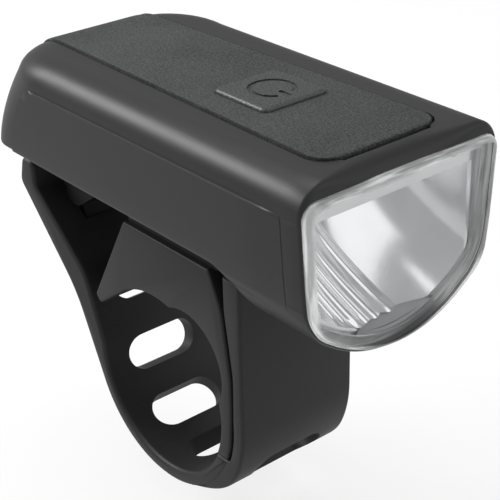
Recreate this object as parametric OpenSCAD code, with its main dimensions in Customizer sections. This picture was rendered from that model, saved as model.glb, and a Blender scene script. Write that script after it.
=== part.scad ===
// Strap-mounted bicycle headlight
// The origin is on the handlebar's axis in the middle of the clamp.
// +X runs along the beam, +Y to the rider's left and +Z up. Sizes are in millimetres.

/* [Handlebar clamp] */
// Diameter of the handlebar that the clamp closes on
bar_d = 31.8; // [25:0.2:35]
// Radial room between the handlebar and the clamp faces
bar_gap = 0.1; // [0.05:0.01:0.2]
// Width of the strap and the saddle along the handlebar
band_w = 23.5; // [22.5:0.5:28]
// Thickness of the strap under the handlebar
band_t = 2.6; // [2:0.1:3.2]
// Thickness of the saddle's tail
tail_t = 2.4; // [1.8:0.1:2.6]
// Where the tail ends, in degrees below the beam direction
tail_end = 20; // [14:1:24]
// Gap between the saddle and the strap
seam = 0.3; // [0.2:0.05:0.5]
// Height of the saddle's top above the clamp face
saddle_rise = 10.7; // [9.5:0.1:13]
// Radius of the relief over the front of the handlebar
relief_r = 8.9; // [7:0.1:9.5]
// Distance of the relief's centre inside the clamp face
relief_in = 5.25; // [4.5:0.05:6]

/* [Strap] */
// Thickness of the strap's root in front of the saddle tail
root_t = 2.5; // [2:0.1:3]
// How far the root stands back from each edge of the band
root_inset = 0.6; // [0.2:0.1:1.5]
// Length of a slot across the strap
slot_l = 14; // [10:0.5:16]
// Width of a slot along the strap
slot_w = 6.4; // [4.5:0.1:7]
// Number of slots under the handlebar
slot_count = 4; // [2:1:4]
// Angle of the first slot, counted from the beam direction through the top
slot_first = 196; // [192:1:198]
// Angle from one slot to the next
slot_step = 41; // [36:1:43]
// Thickness of the finger tab at the strap's end
tab_t = 3.4; // [2.6:0.1:4.5]
// Depth of the finger tab's top below the housing
tab_drop = 5.3; // [4:0.1:7]

/* [Mount base and hook] */
// Height of the mount base between the saddle and the housing
base_h = 6.8; // [6.5:0.1:9]
// Width of the mount base
base_w = 21.6; // [20:0.2:22]
// Distance of the anchor pin in front of the clamp face
anchor_ahead = 2.6; // [2.3:0.1:3]
// Depth of the anchor pin below the housing
anchor_drop = 3.9; // [3.4:0.1:4.4]
// Diameter of the anchor pin
pin_d = 2.5; // [2:0.1:3]
// Radial running room of the strap on its pin
pin_gap = 0.05; // [0.02:0.01:0.1]
// Radius of the strap's knuckle and of the lugs beside it
knuckle_r = 2.6; // [2.3:0.1:2.8]
// Width of the strap's knuckle
knuckle_w = 12.4; // [8:0.2:13]
// Room between the strap's knuckle or root and the lugs
lug_gap = 0.4; // [0.3:0.05:0.6]
// Distance of the hook's front behind the clamp face
hook_behind = 13.4; // [12.8:0.1:14.5]
// Depth of the hook's tip below the housing
hook_drop = 24; // [22:0.5:25]
// Thickness of the hook's tongue
tongue_t = 2.4; // [2:0.1:2.8]
// Width of the hook's tongue
tongue_w = 11; // [6:0.5:12]
// How far the hook's lip stands out behind the tongue
lip_out = 1.2; // [0.8:0.1:1.5]
// Height of the hook's lip
lip_h = 1.8; // [1.2:0.1:2.4]
// Room around the hook in its slot
hook_gap = 0.4; // [0.3:0.05:0.6]

/* [Housing] */
// Length behind the handlebar's axis
rear_reach = 37.7; // [37:0.1:42]
// Distance of the lamp head's throat in front of the anchor pin
throat_ahead = 6.7; // [6.2:0.1:8]
// Length of the lamp head in front of its throat
head_l = 17.2; // [16:0.1:22]
// Width of the housing
body_w = 37.2; // [36.6:0.2:42]
// Height of the housing above its flat underside
body_h = 18.1; // [17.8:0.1:21]
// Depth of the lamp chin below the flat underside
chin_drop = 11.3; // [10.5:0.1:14]
// Wall thickness
wall = 1.8; // [1.5:0.1:2.1]
// Roof thickness, with the cover recess in it
roof_t = 2.2; // [2:0.1:2.6]
// Radius of the long edges of the top
edge_r = 5; // [3.5:0.1:5.5]
// Radius of the rear corners seen from above
plan_r = 7; // [5:0.5:9]
// Radius of the leaning surface that rounds the rear corners off towards the top
lean_r = 12; // [9:0.5:14]
// Lean of that surface from upright, in degrees
lean_angle = 28; // [22:1:30]
// How far that surface lies behind the rear edge at the underside
lean_back = 2.5; // [2:0.1:4]
// Radius of the rear shoulder seen from the side
shoulder_r = 9; // [7:0.1:10]
// How far the rear face leans forward at its knee
rear_lean = 1.7; // [1:0.1:2.5]
// Height of the rear face's knee above the underside
knee_h = 7.1; // [6:0.1:8]
// How far the shoulder's corner lies in front of the rear edge
shoulder_in = 7.1; // [6:0.1:8]
// Radius of the front edge of the top
brow_r = 3.7; // [2:0.1:4.5]
// Forward run of the belly from throat to chin
belly_run = 6.5; // [5:0.1:7.5]
// Radius of the arc under the chin
chin_r = 21.5; // [19:0.5:24]
// Slope of the chin where it meets the jaw
chin_slope = 35; // [31:0.5:37]
// Radius of the jaw
jaw_r = 6.6; // [5:0.1:7]
// Depth of the crease line along the sides
crease_depth = 0.25; // [0.1:0.05:0.4]
// Width of the crease line
crease_w = 0.35; // [0.2:0.05:0.6]
// Depth of the crease line below the top
crease_drop = 4.8; // [4:0.1:6]

/* [Lens and reflector] */
// How far the lens stands in front of the housing
lens_proud = 1.1; // [0.5:0.1:2]
// Wall thickness of the lens
lens_t = 1.6; // [1.3:0.1:2]
// Radius of the lens's front edge
lens_edge_r = 1.6; // [1:0.1:2]
// Depth of the lens behind the housing's front face
lens_depth = 2.4; // [2:0.1:3]
// Width of the housing rim around the lens
lens_rim = 0.55; // [0.4:0.05:0.8]
// Height of the bezel above the lens
brow_h = 2.25; // [2:0.05:3]
// Radius of the lens's upper corners
lens_corner_r = 2.4; // [1.8:0.1:3]
// Thickness of the lens gasket
gasket_t = 0.8; // [0.6:0.1:1]
// Room around the lens in its rebate
rebate_gap = 0.05; // [0.02:0.01:0.1]
// Thickness of the reflector's flange
flange_t = 0.8; // [0.6:0.1:1]
// Thickness of the reflector's bowl
bowl_t = 0.8; // [0.7:0.1:1]
// Depth of the bowl behind its rim
bowl_depth = 13.4; // [13:0.1:14.6]
// Room from the bowl's flank to the housing's side
bowl_side = 4.8; // [4.6:0.1:6]
// Room between the bowl's rim and the lens
rim_air = 0.8; // [0.7:0.1:1.2]
// Height of the bowl's flat floor above the chin
bowl_floor = 4.3; // [4.2:0.1:5]
// Half width of the bowl's flat floor at the rim
floor_half = 6.2; // [5.5:0.1:6.4]
// Flutes on the bowl's right-hand side
flute_count = 6; // [3:1:6]
// Width of a flute
flute_pitch = 1.7; // [1.4:0.1:2]
// Depth of a flute
flute_depth = 0.4; // [0.2:0.05:0.5]

/* [Rubber cover and flap] */
// Thickness of the rubber cover
cover_t = 1.2; // [1:0.05:1.4]
// How far the cover stands above the housing
cover_proud = 0.3; // [0.1:0.05:0.5]
// Distance of the cover's front edge behind the housing's front
cover_front = 3.7; // [3:0.1:6]
// Width of the cover at its front
cover_w_front = 22.1; // [20:0.1:23]
// Width of the cover at its rear
cover_w_rear = 18.2; // [16:0.1:19]
// Radius of the cover's front corners
cover_r = 3.5; // [2:0.1:5]
// Room around the cover in its recess
cover_gap = 0.15; // [0.1:0.05:0.25]
// Where the flap starts on the rear shoulder, in degrees from level
flap_angle = 110; // [104:1:118]
// Height of the flap's lower edge above the flat underside
flap_low = 3; // [2:0.1:4]
// Room under the flap
flap_gap = 0.3; // [0.2:0.05:0.4]

/* [Power button] */
// Distance of the button in front of the handlebar's axis
button_x = 15.5; // [12.5:0.1:16.5]
// Length of the button
button_l = 11.5; // [9:0.1:12]
// Width of the button
button_w = 12; // [9:0.1:13]
// Radius of the button's corners
button_r = 1.5; // [0.8:0.1:3]
// How far the button stands above the cover
button_proud = 0.4; // [0.2:0.1:0.8]
// Travel of the button
button_travel = 0.6; // [0.4:0.05:0.7]
// Gap around the button
button_gap = 0.3; // [0.2:0.05:0.4]
// Diameter of the button's stem
stem_d = 5; // [4:0.1:6]
// Side of the square switch body
switch_side = 6; // [5:0.1:6.4]
// Height of the switch body
switch_h = 2; // [1.8:0.1:2.2]
// Diameter of the switch plunger
plunger_d = 3.2; // [2.5:0.1:3.5]
// Radial running room of the plunger
plunger_gap = 0.05; // [0.02:0.01:0.1]

/* [Boards and light source] */
// Thickness of the main board
board_t = 1.2; // [1:0.1:1.6]
// Width of the main board
board_w = 20.4; // [18:0.2:20.8]
// Room between the roof and the main board
board_drop = 3.2; // [3:0.1:3.5]
// Thickness of the heat sink's plate
sink_t = 1.8; // [1.4:0.1:2]
// Width of the heat sink
sink_w = 23; // [20:0.5:25]
// Thickness of the LED board
led_board_t = 1.2; // [1:0.1:1.6]
// Width of the LED board
led_board_w = 22; // [18:0.5:24]
// Side of the light source
led_side = 3.5; // [3:0.1:4]
// Height of the light source
led_t = 0.8; // [0.6:0.1:1]
// Thickness of the flat LED leads
lead_t = 0.6; // [0.4:0.1:0.8]
// Width of the flat LED leads
lead_w = 1.2; // [0.8:0.1:1.6]

/* [Battery and charging socket] */
// Length of the battery cell
cell_l = 41; // [36:0.5:46]
// Width of the battery cell
cell_w = 21; // [18:0.5:29]
// Thickness of the battery cell
cell_t = 5.7; // [5:0.1:7.6]
// Room between the battery cell and the front screw bosses
cell_gap = 0.3; // [0.2:0.1:1]
// Thickness of the pad under the cell
pad_t = 0.5; // [0.3:0.1:0.8]
// Radius of the battery wires
wire_r = 0.5; // [0.3:0.05:0.6]
// Width of the charging socket
port_w = 8.94; // [7:0.01:9]
// Height of the charging socket
port_h = 3.16; // [2.5:0.01:3.2]
// Length of the charging socket
port_l = 7.3; // [6:0.1:8]
// Sheet thickness of the charging socket's shell
port_sheet = 0.3; // [0.2:0.05:0.4]
// Distance of the socket's mouth from the housing's rear edge
port_in = 4.9; // [4.8:0.1:5.4]
// Room around the charging socket in the rear wall
port_gap = 0.35; // [0.2:0.05:0.5]

/* [Screws] */
// Radius of the screw bosses
boss_r = 2.2; // [1.8:0.1:2.4]
// Radius of a screw's shank
screw_r = 1; // [0.8:0.05:1.1]
// Radius of a screw's head
head_r = 1.8; // [1.6:0.05:1.9]
// Height of a screw's head
head_h = 1.2; // [1:0.05:1.3]
// Width of the cross in a screw's head
drive_w = 0.5; // [0.3:0.05:0.6]
// Length of the screws that hold the base cover, in the boss
base_screw_l = 7; // [5:0.5:8]
// Room around a screw and other loose fits
screw_gap = 0.05; // [0.02:0.01:0.1]
// Room beyond the tip of a screw
tip_gap = 0.5; // [0.3:0.1:0.8]
// Distance of the screw bosses from the housing's side
boss_in = 5.6; // [5.4:0.1:6.5]
// Room around the base cover in its opening
lid_gap = 0.15; // [0.1:0.05:0.3]

/* [Hidden] */

// Fineness of the arcs, and how far a cut runs past the face that it opens
arc_step = 9;
round_fn = 48;
past = 1;

// Levels and stations that the pieces share
clamp_r = bar_d / 2 + bar_gap;
saddle_top = clamp_r + saddle_rise;
deck_z = saddle_top + base_h;
top_z = deck_z + body_h;
chin_z = deck_z - chin_drop;
roof_z = top_z - roof_t;
floor_z = deck_z + wall;
anchor = [clamp_r + anchor_ahead, deck_z - anchor_drop];
throat_x = anchor[0] + throat_ahead;
front_x = throat_x + head_l;
rear_x = -rear_reach;
half_w = body_w / 2;

// Side profile of the housing as corners, each with its radius
heel_r = 1.5;
belly_r = 4;
lip_r = 0.8;
knee_r = 14;
side_corners = [
    [rear_x, deck_z, heel_r],
    [throat_x, deck_z, belly_r],
    [throat_x + belly_run, chin_z, belly_r],
    [front_x, chin_z, lip_r],
    [front_x, top_z, brow_r],
    [rear_x + shoulder_in, top_z, shoulder_r],
    [rear_x + rear_lean, deck_z + knee_h, knee_r]
];

// Cross-section of the housing, from the chin up one side, mirrored to the other
jaw_in = 1.55;
waist_in = 0.7;
waist_up = 2;
waist_r = 25;
top_out = 0.25;
chin_tip = chin_z - chin_r * (1 / cos(chin_slope) - 1);
jaw_y = half_w - jaw_in;
function half_section(top, r) = [
    [0, chin_tip, chin_r],
    [jaw_y, chin_tip + jaw_y * tan(chin_slope), jaw_r],
    [half_w - waist_in, deck_z + waist_up, waist_r],
    [half_w + top_out, top, r]
];
function both_sides(half) = concat(half,
    [for (i = [len(half) - 1:-1:1]) [-half[i][0], half[i][1], half[i][2]]]);
section_corners = both_sides(half_section(top_z, edge_r));

// Outline of the housing from above, with round rear corners
plan_half = half_w + top_out;
function plan_outline(back, front, r) = [
    [back, -plan_half, r],
    [front, -plan_half, 0],
    [front, plan_half, 0],
    [back, plan_half, r]
];
plan_corners = plan_outline(rear_x, front_x + past, plan_r);

// Front stack: shoulder in the housing, reflector flange, gasket, lens skirt
lens_top = top_z - brow_h;
lens_back = front_x - lens_depth;
gasket_back = lens_back - gasket_t;
flange_back = gasket_back - flange_t;
lens_front = front_x + lens_proud;
lens_corners = inset(both_sides(half_section(lens_top + lens_rim, lens_corner_r + lens_rim)), lens_rim);
flange_gap = 0.1;

// Light source under the heat sink, at the focus of the bowl
sink_low = roof_z - sink_t;
led_board_low = sink_low - led_board_t;
led_low = led_board_low - led_t;
led_air = 0.2;
bowl_axis_z = led_low - led_air;
bowl_half = half_w - bowl_side;
bowl_floor_z = chin_z + bowl_floor;
bowl_r = norm([bowl_axis_z - bowl_floor_z, floor_half]);
focal = pow(bowl_r, 2) / (4 * bowl_depth);
rim_x = lens_front - lens_t - rim_air;
bowl_back = rim_x - bowl_depth;
led_x = bowl_back + focal;
sink_air = 0.4;
sink_front = flange_back - sink_air;

// Cover and flap on the rear shoulder
shoulder = corner_centre(side_corners, 5);
flap_dir = [cos(flap_angle), sin(flap_angle)];
flap_slit = 0.1;
cover_floor = cover_t - cover_proud;
cover_lead = front_x - cover_front;
cover_corners = [
    [rear_x - past, -cover_w_rear / 2, 0],
    [cover_lead, -cover_w_front / 2, cover_r],
    [cover_lead, cover_w_front / 2, cover_r],
    [rear_x - past, cover_w_rear / 2, 0]
];

// Button and switch
button_top = top_z + cover_proud + button_proud;
recess_z = top_z - cover_floor;
stop_gap = 0.05;
button_low = recess_z + button_travel + stop_gap;
board_top = roof_z - board_drop;
board_low = board_top - board_t;
plunger_out = 0.2;
plunger_bed = 0.4;
plunger_top = board_top + switch_h + button_travel + plunger_out;
plunger_low = board_top + button_travel + plunger_bed;

// Base cover, screws and posts
throat_wall = 3.1;
boss_back = 8.7;
mount_in = 3.3;
mount_front = 11;
mount_rear = -3;
post_in = 3.2;
post_x = -15;
base_front = throat_x - throat_wall;
boss_y = half_w - boss_in;
mount_y = base_w / 2 - mount_in;
post_y = board_w / 2 - post_in;
base_spots = [for (x = [base_front - boss_r - tip_gap, rear_x + boss_back])
    for (y = [-boss_y, boss_y]) [x, y]];
mount_spots = [for (x = [mount_rear, mount_front]) for (y = [-mount_y, mount_y]) [x, y]];
post_spots = [for (y = [-post_y, post_y]) [post_x, y]];

// Cell, main board and socket along the housing
board_lap = 2;
port_lap = 3;
board_front = base_front - board_lap;
port_mouth = rear_x + port_in;
port_back = port_mouth + port_l;
port_z = board_low - port_h / 2;
board_back = port_mouth + port_lap;
cell_front = base_spots[0][0] - boss_r - cell_gap;
cell_back = cell_front - cell_l;
cell_low = floor_z + pad_t;
cell_half = cell_w / 2;

// Strap, tail and hook as radii about the handlebar or the anchor
band_r = clamp_r + band_t;
tail_r = clamp_r + tail_t;
root_in = tail_r + seam;
root_out = root_in + root_t;
root_top = anchor[1] - knuckle_r - lug_gap;
tail_low = -tail_r * sin(tail_end);
band_top = tail_low - seam;
hook_reach = anchor[0] + clamp_r + hook_behind;
hook_rear = hook_reach + tongue_t;
hook_low = deck_z - hook_drop;
tab_skin = 1;
tab_x = anchor[0] - hook_rear - lip_out - hook_gap - tab_skin;
tab_z = deck_z - tab_drop;
base_back = -7;

// Bend and shoulder of the saddle's front, which the strap's root follows
bend_out = 0.2;
bend_down = 6.4;
bend_r = 20;
shoulder_back = 1.5;
shoulder_down = 5.7;
tail_shoulder_r = 14;
nose_back = 4.1;
tail_bend = [tail_r + bend_out, clamp_r - bend_down];
tail_shoulder = [tail_r - shoulder_back, saddle_top - shoulder_down];
saddle_nose = tail_r - nose_back;

// Corner list helpers
function unit(v) = v / norm(v);
function turn_left(v) = [-v[1], v[0]];
function spot(p) = [p[0], p[1]];
function wrap(p, i) = p[(i + len(p)) % len(p)];
function polar(r, a) = [r * cos(a), r * sin(a)];

// A corner list moved inwards by d, with each radius following
function inset(p, d) = [for (i = [0:len(p) - 1])
    let (
        a = unit(spot(p[i]) - spot(wrap(p, i - 1))),
        b = unit(spot(wrap(p, i + 1)) - spot(p[i])),
        n = turn_left(a),
        m = turn_left(b),
        v = spot(p[i]) + d * (n + m) / (1 + n * m),
        bend = sign(a[0] * b[1] - a[1] * b[0])
    )
    [v[0], v[1], p[i][2] == 0 ? 0 : max(0.2, p[i][2] - d * bend)]];

// Centre of the arc that rounds one corner
function corner_centre(p, i) =
    let (
        v = spot(p[i]),
        a = unit(spot(wrap(p, i - 1)) - v),
        b = unit(spot(wrap(p, i + 1)) - v)
    )
    v + unit(a + b) * p[i][2] / sin(acos(a * b) / 2);

// Points along one rounded corner
function corner(p, i) =
    p[i][2] <= 0 ? [spot(p[i])] :
    let (
        v = spot(p[i]),
        a = unit(spot(wrap(p, i - 1)) - v),
        b = unit(spot(wrap(p, i + 1)) - v),
        c = corner_centre(p, i),
        t = p[i][2] / tan(acos(a * b) / 2),
        s = v + a * t - c,
        e = v + b * t - c,
        start = atan2(s[1], s[0]),
        raw = atan2(e[1], e[0]) - start,
        sweep = raw > 180 ? raw - 360 : raw < -180 ? raw + 360 : raw,
        n = max(2, ceil(abs(sweep) / arc_step))
    )
    [for (k = [0:n]) c + polar(p[i][2], start + sweep * k / n)];

function rounded(p) = [for (i = [0:len(p) - 1]) each corner(p, i)];
function rectangle(x0, x1, y0, y1, r) = [[x0, y0, r], [x1, y0, r], [x1, y1, r], [x0, y1, r]];

// Profile in the XZ plane, drawn across the width
module from_side(points, width) {
    translate([0, width / 2, 0]) rotate([90, 0, 0]) linear_extrude(width) polygon(points);
}

// Profile in the YZ plane, drawn along the length
module along(points, x0, x1) {
    translate([x0, 0, 0]) rotate([90, 0, 90]) linear_extrude(x1 - x0) polygon(points);
}

// Profile in the XY plane, drawn upwards
module upright(points, z0, z1) {
    translate([0, 0, z0]) linear_extrude(z1 - z0) polygon(points);
}

module post(at, r, z0, z1) {
    translate([at[0], at[1], z0]) cylinder(r = r, h = z1 - z0, $fn = round_fn);
}

module cross_pin(at, r, width) {
    translate([at[0], width / 2, at[1]]) rotate([90, 0, 0]) cylinder(r = r, h = width, $fn = 2 * round_fn);
}

module block(low, high) {
    translate(low) cube(high - low);
}

// Slot with round ends, cut along the local Z axis
module slot(length, width, depth) {
    run = (length - width) / 2;
    translate([-width / 2, -run, -depth / 2]) cube([width, 2 * run, depth]);
    for (y = [-run, run])
        translate([0, y, -depth / 2]) cylinder(d = width, h = depth, $fn = round_fn);
}

// Upright outline and leaning outline of the housing, which round its rear corners
module plan_form(d) {
    upright(rounded(inset(plan_corners, d)), chin_z - past, top_z + past);
}

module lean_form(d) {
    reach = front_x - rear_x + chin_drop + lean_back;
    translate([rear_x - lean_back, 0, deck_z]) rotate([0, lean_angle, 0])
        upright(rounded(inset(plan_outline(0, reach, lean_r), d)), -chin_drop, reach);
}

// Outer form of the housing, moved inwards by d
module housing_form(d) {
    intersection() {
        from_side(rounded(inset(side_corners, d)), body_w + 2 * past);
        along(rounded(inset(section_corners, d)), rear_x - past, front_x + past);
        plan_form(d);
        lean_form(d);
    }
}

// Hollow for the cell, the boards and the reflector, open to the underside
module housing_hollow() {
    inner = both_sides(half_section(roof_z + wall, edge_r));
    intersection() {
        union() {
            from_side(rounded(inset(side_corners, wall)), body_w);
            block([rear_x, -half_w, deck_z - past], [base_front, half_w, floor_z + past]);
        }
        along(rounded(inset(inner, wall)), rear_x, front_x + past);
        plan_form(wall);
        lean_form(wall);
    }
}

// Recess for the cover and the flap, over the roof and down the rear
module cover_recess() {
    intersection() {
        upright(rounded(inset(cover_corners, -cover_gap)), deck_z + flap_low - cover_gap, top_z + past);
        difference() {
            block([rear_x - past, -half_w, deck_z], [front_x, half_w, top_z + past]);
            from_side(rounded(inset(side_corners, cover_floor)), body_w + 2 * past);
        }
    }
}

// Crease line along each side and down behind the rear end of the side panel
module crease() {
    foot_in = 8.4;
    knee_in = 15;
    z = top_z - crease_drop;
    foot_x = rear_x + foot_in;
    knee_x = rear_x + knee_in;
    path = [
        [foot_x, deck_z - past],
        [foot_x + crease_w, deck_z - past],
        [knee_x + crease_w, z],
        [front_x + past, z],
        [front_x + past, z + crease_w],
        [knee_x, z + crease_w]
    ];
    difference() {
        from_side(path, body_w + 2 * past);
        along(rounded(inset(section_corners, crease_depth)), rear_x - past, front_x + 2 * past);
    }
}

module housing() {
    color([0.24, 0.24, 0.24]) difference() {
        union() {
            difference() {
                housing_form(0);
                housing_hollow();
            }
            intersection() {
                housing_form(wall / 2);
                union() {
                    for (p = base_spots)
                        post(p, boss_r, floor_z, top_z);
                    for (p = post_spots)
                        post(p, boss_r, board_top, recess_z - wall / 4);
                }
            }
        }
        along(rounded(inset(lens_corners, -rebate_gap)), flange_back, lens_front + past);
        cover_recess();
        crease();
        post([button_x, 0], stem_d / 2 + button_gap, roof_z - past, top_z);
        translate([port_mouth, 0, port_z]) rotate([0, 90, 0])
            slot(port_w + 2 * port_gap, port_h + 2 * port_gap, 2 * (port_in + past));
        for (p = base_spots)
            post(p, screw_r + screw_gap, floor_z - past, floor_z + base_screw_l);
        for (p = post_spots)
            post(p, screw_r + screw_gap, board_top - past, roof_z);
    }
}

module base_cover() {
    rim = wall + lid_gap;
    color([0.2, 0.2, 0.2]) difference() {
        intersection() {
            block([rear_x, -half_w, deck_z], [base_front - lid_gap, half_w, floor_z]);
            along(rounded(inset(section_corners, rim)), rear_x, front_x);
            plan_form(rim);
            lean_form(rim);
        }
        for (p = concat(base_spots, mount_spots))
            post(p, screw_r + screw_gap, deck_z - past, floor_z + past);
        for (p = base_spots)
            post(p, head_r + screw_gap, deck_z - past, deck_z + head_h);
        for (p = mount_spots)
            post(p, head_r + screw_gap, floor_z - head_h, floor_z + past);
    }
}

// Screw that points up, with its head at the bottom
module screw(length) {
    cross = head_r * 1.2;
    difference() {
        union() {
            cylinder(r = head_r, h = head_h, $fn = round_fn);
            cylinder(r = screw_r, h = head_h + length, $fn = round_fn);
        }
        for (a = [0, 90]) rotate([0, 0, a])
            translate([-cross / 2, -drive_w / 2, -past]) cube([cross, drive_w, past + head_h / 2]);
    }
}

module base_screws() {
    color([0.45, 0.45, 0.47]) for (p = base_spots)
        translate([p[0], p[1], deck_z]) screw(wall - head_h + base_screw_l - tip_gap);
}

module mount_screws() {
    color([0.45, 0.45, 0.47]) for (p = mount_spots)
        translate([p[0], p[1], floor_z]) mirror([0, 0, 1]) screw(wall - head_h + base_h - past - tip_gap);
}

module board_screws() {
    color([0.45, 0.45, 0.47]) for (p = post_spots)
        translate([p[0], p[1], board_low - head_h]) screw(board_t + board_drop - tip_gap);
}

// Clear cap: slabs of the shield outline that step back round the front edge
module cap(back, front, d) {
    hull()
        for (a = [0, 35, 62, 90])
            along(rounded(inset(lens_corners, d + lens_edge_r * (1 - cos(a)))), back,
                front - lens_edge_r * (1 - sin(a)));
}

module lens() {
    color([0.85, 0.9, 0.92, 0.4]) difference() {
        cap(lens_back, lens_front, 0);
        cap(lens_back - past, lens_front - lens_t, lens_t);
    }
}

module lens_gasket() {
    color([0.1, 0.1, 0.1]) difference() {
        along(rounded(inset(lens_corners, flange_gap)), gasket_back, lens_back);
        along(rounded(inset(lens_corners, lens_t - flange_gap)), gasket_back - past, lens_back + past);
    }
}

// Front of the bowl at a point of the YZ plane. The flutes rise from the floor, lean out to the right and
// fade towards the rim. The grid fans out from the middle of the floor, a little below its face.
floor_t = 0.7;
floor_bury = 0.3;
fan_rows = 14;
fan_cols = 84;
fan_z = bowl_floor_z - floor_bury;
flute_lean = 0.5;
flute_start = 1.5;
flute_fade = 1.5;
function fan_reach(a) =
    let (h = bowl_axis_z - fan_z)
    min(h * sin(a) + sqrt(pow(bowl_r, 2) - pow(h * cos(a), 2)), bowl_half / max(0.001, abs(cos(a))),
        h / max(0.001, sin(a)));
function bowl_x(y, z) = bowl_back + (y * y + pow(bowl_axis_z - z, 2)) / (4 * focal);
function flute(y, z) =
    let (u = (flute_start - y - flute_lean * (z - fan_z)) / flute_pitch)
    u < 0 || u > flute_count ? 0 :
        flute_depth * abs(sin(180 * u)) * max(0, min(1, (rim_x - bowl_x(y, z)) / flute_fade));
function bowl_point(a, s, back) =
    let (y = fan_reach(a) * s * cos(a), z = fan_z + fan_reach(a) * s * sin(a))
    [bowl_x(y, z) + flute(y, z) - back, y, z];

// Thin bowl as one closed skin: front grid, back grid and the edge between them
module bowl() {
    angles = [for (k = [0:fan_cols]) 180 * k / fan_cols];
    function ring(j, back) = [for (a = angles) bowl_point(a, j / fan_rows, back)];
    n = fan_cols + 1;
    half = 1 + fan_rows * n;
    points = [for (back = [0, bowl_t])
        each concat([bowl_point(90, 0, back)], [for (j = [1:fan_rows]) each ring(j, back)])];
    function id(side, j, k) = side * half + (j == 0 ? 0 : 1 + (j - 1) * n + k);
    fan = [for (k = [0:fan_cols - 1]) [id(0, 0, 0), id(0, 1, k + 1), id(0, 1, k)]];
    grid = [for (j = [1:fan_rows - 1]) for (k = [0:fan_cols - 1])
        each [[id(0, j, k), id(0, j, k + 1), id(0, j + 1, k)],
            [id(0, j, k + 1), id(0, j + 1, k + 1), id(0, j + 1, k)]]];
    front = concat(fan, grid);
    rear = [for (f = front) [f[0] + half, f[2] + half, f[1] + half]];
    rim = [for (k = [0:fan_cols - 1])
        each [[id(0, fan_rows, k), id(0, fan_rows, k + 1), id(1, fan_rows, k)],
            [id(0, fan_rows, k + 1), id(1, fan_rows, k + 1), id(1, fan_rows, k)]]];
    left = [for (j = [0:fan_rows - 1])
        each [[id(0, j, 0), id(0, j + 1, 0), id(1, j, 0)],
            [id(0, j + 1, 0), id(1, j + 1, 0), id(1, j, 0)]]];
    right = [for (j = [0:fan_rows - 1])
        each [[id(0, j + 1, fan_cols), id(0, j, fan_cols), id(1, j, fan_cols)],
            [id(0, j + 1, fan_cols), id(1, j, fan_cols), id(1, j + 1, fan_cols)]]];
    polyhedron(points, concat(front, rear, rim, left, right));
}

// Flank wall from the bowl's side edge to its rim
module flank() {
    low_z = bowl_axis_z - sqrt(pow(bowl_r, 2) - pow(bowl_half, 2));
    steps = 6;
    sink = 0.2;
    curve = [for (k = [0:steps]) let (z = bowl_axis_z + (low_z - bowl_axis_z) * k / steps)
        [bowl_x(bowl_half, z) - bowl_t, z]];
    translate([0, bowl_half + bowl_t - sink, 0]) rotate([90, 0, 0]) linear_extrude(bowl_t)
        polygon(concat(curve, [[rim_x, low_z], [rim_x, bowl_axis_z]]));
}

// Flat floor between the bowl's foot and its rim
module floor_plate() {
    steps = 12;
    foot = [for (k = [0:steps]) let (y = floor_half * (2 * k / steps - 1))
        [bowl_x(y, bowl_floor_z) - bowl_t / 2, y]];
    upright(concat([[rim_x, -floor_half]], [[rim_x, floor_half]], [for (k = [steps:-1:0]) foot[k]]),
        bowl_floor_z - floor_t, bowl_floor_z);
}

module reflector() {
    lap = 0.1;
    hole_r = sqrt(4 * focal * (gasket_back - bowl_back)) + lap;
    color([0.86, 0.87, 0.88]) union() {
        bowl();
        flank();
        mirror([0, 1, 0]) flank();
        floor_plate();
        difference() {
            along(rounded(inset(lens_corners, flange_gap)), flange_back, gasket_back);
            intersection() {
                block([flange_back - past, -bowl_half, chin_z], [gasket_back + past, bowl_half, bowl_axis_z]);
                translate([flange_back - past, 0, bowl_axis_z]) rotate([0, 90, 0])
                    cylinder(r = hole_r, h = flange_t + 2 * past, $fn = 2 * round_fn);
            }
        }
    }
}

module led_emitter() {
    base_t = led_t / 2;
    color([0.95, 0.85, 0.35]) union() {
        block([led_x - led_side / 2, -led_side / 2, led_board_low - base_t],
            [led_x + led_side / 2, led_side / 2, led_board_low]);
        post([led_x, 0], led_side * 0.4, led_low, led_board_low - base_t / 2);
    }
}

led_board_in = 3.4;
sink_in = 1.9;
led_board_back = base_front + led_board_in;
sink_back = led_board_back + sink_in;

module led_board() {
    color([0.92, 0.92, 0.9])
        block([led_board_back, -led_board_w / 2, led_board_low], [sink_front, led_board_w / 2, sink_low]);
}

module heat_sink() {
    fin_t = 1;
    fin_pitch = 4;
    fin_l = 4.4;
    color([0.72, 0.73, 0.75]) union() {
        block([sink_back, -sink_w / 2, sink_low], [sink_front, sink_w / 2, roof_z]);
        for (k = [-2:2])
            block([sink_back - fin_l, k * fin_pitch - fin_t / 2, sink_low],
                [sink_back + fin_t, k * fin_pitch + fin_t / 2, roof_z]);
    }
}

// Flat leads that step up from the main board to the LED board, between the fins
module led_leads() {
    foot = 1.4;
    rise_in = 1;
    rise_out = 0.4;
    tip_in = sink_in - lead_t / 2;
    spread = 2;
    low_bend = board_front + rise_in;
    high_bend = led_board_back - rise_out;
    tip_x = led_board_back + tip_in;
    profile = [
        [board_front - foot, board_top],
        [low_bend, board_top],
        [high_bend, sink_low],
        [tip_x, sink_low],
        [tip_x, sink_low + lead_t],
        [high_bend, sink_low + lead_t],
        [low_bend, board_top + lead_t],
        [board_front - foot, board_top + lead_t]
    ];
    color([0.75, 0.15, 0.12]) for (y = [-spread, spread])
        translate([0, y, 0]) from_side(profile, lead_w);
}

module main_board() {
    color([0.1, 0.35, 0.2]) difference() {
        block([board_back, -board_w / 2, board_low], [board_front, board_w / 2, board_top]);
        for (p = post_spots)
            post(p, screw_r + screw_gap, board_low - past, board_top + past);
    }
}

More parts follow.
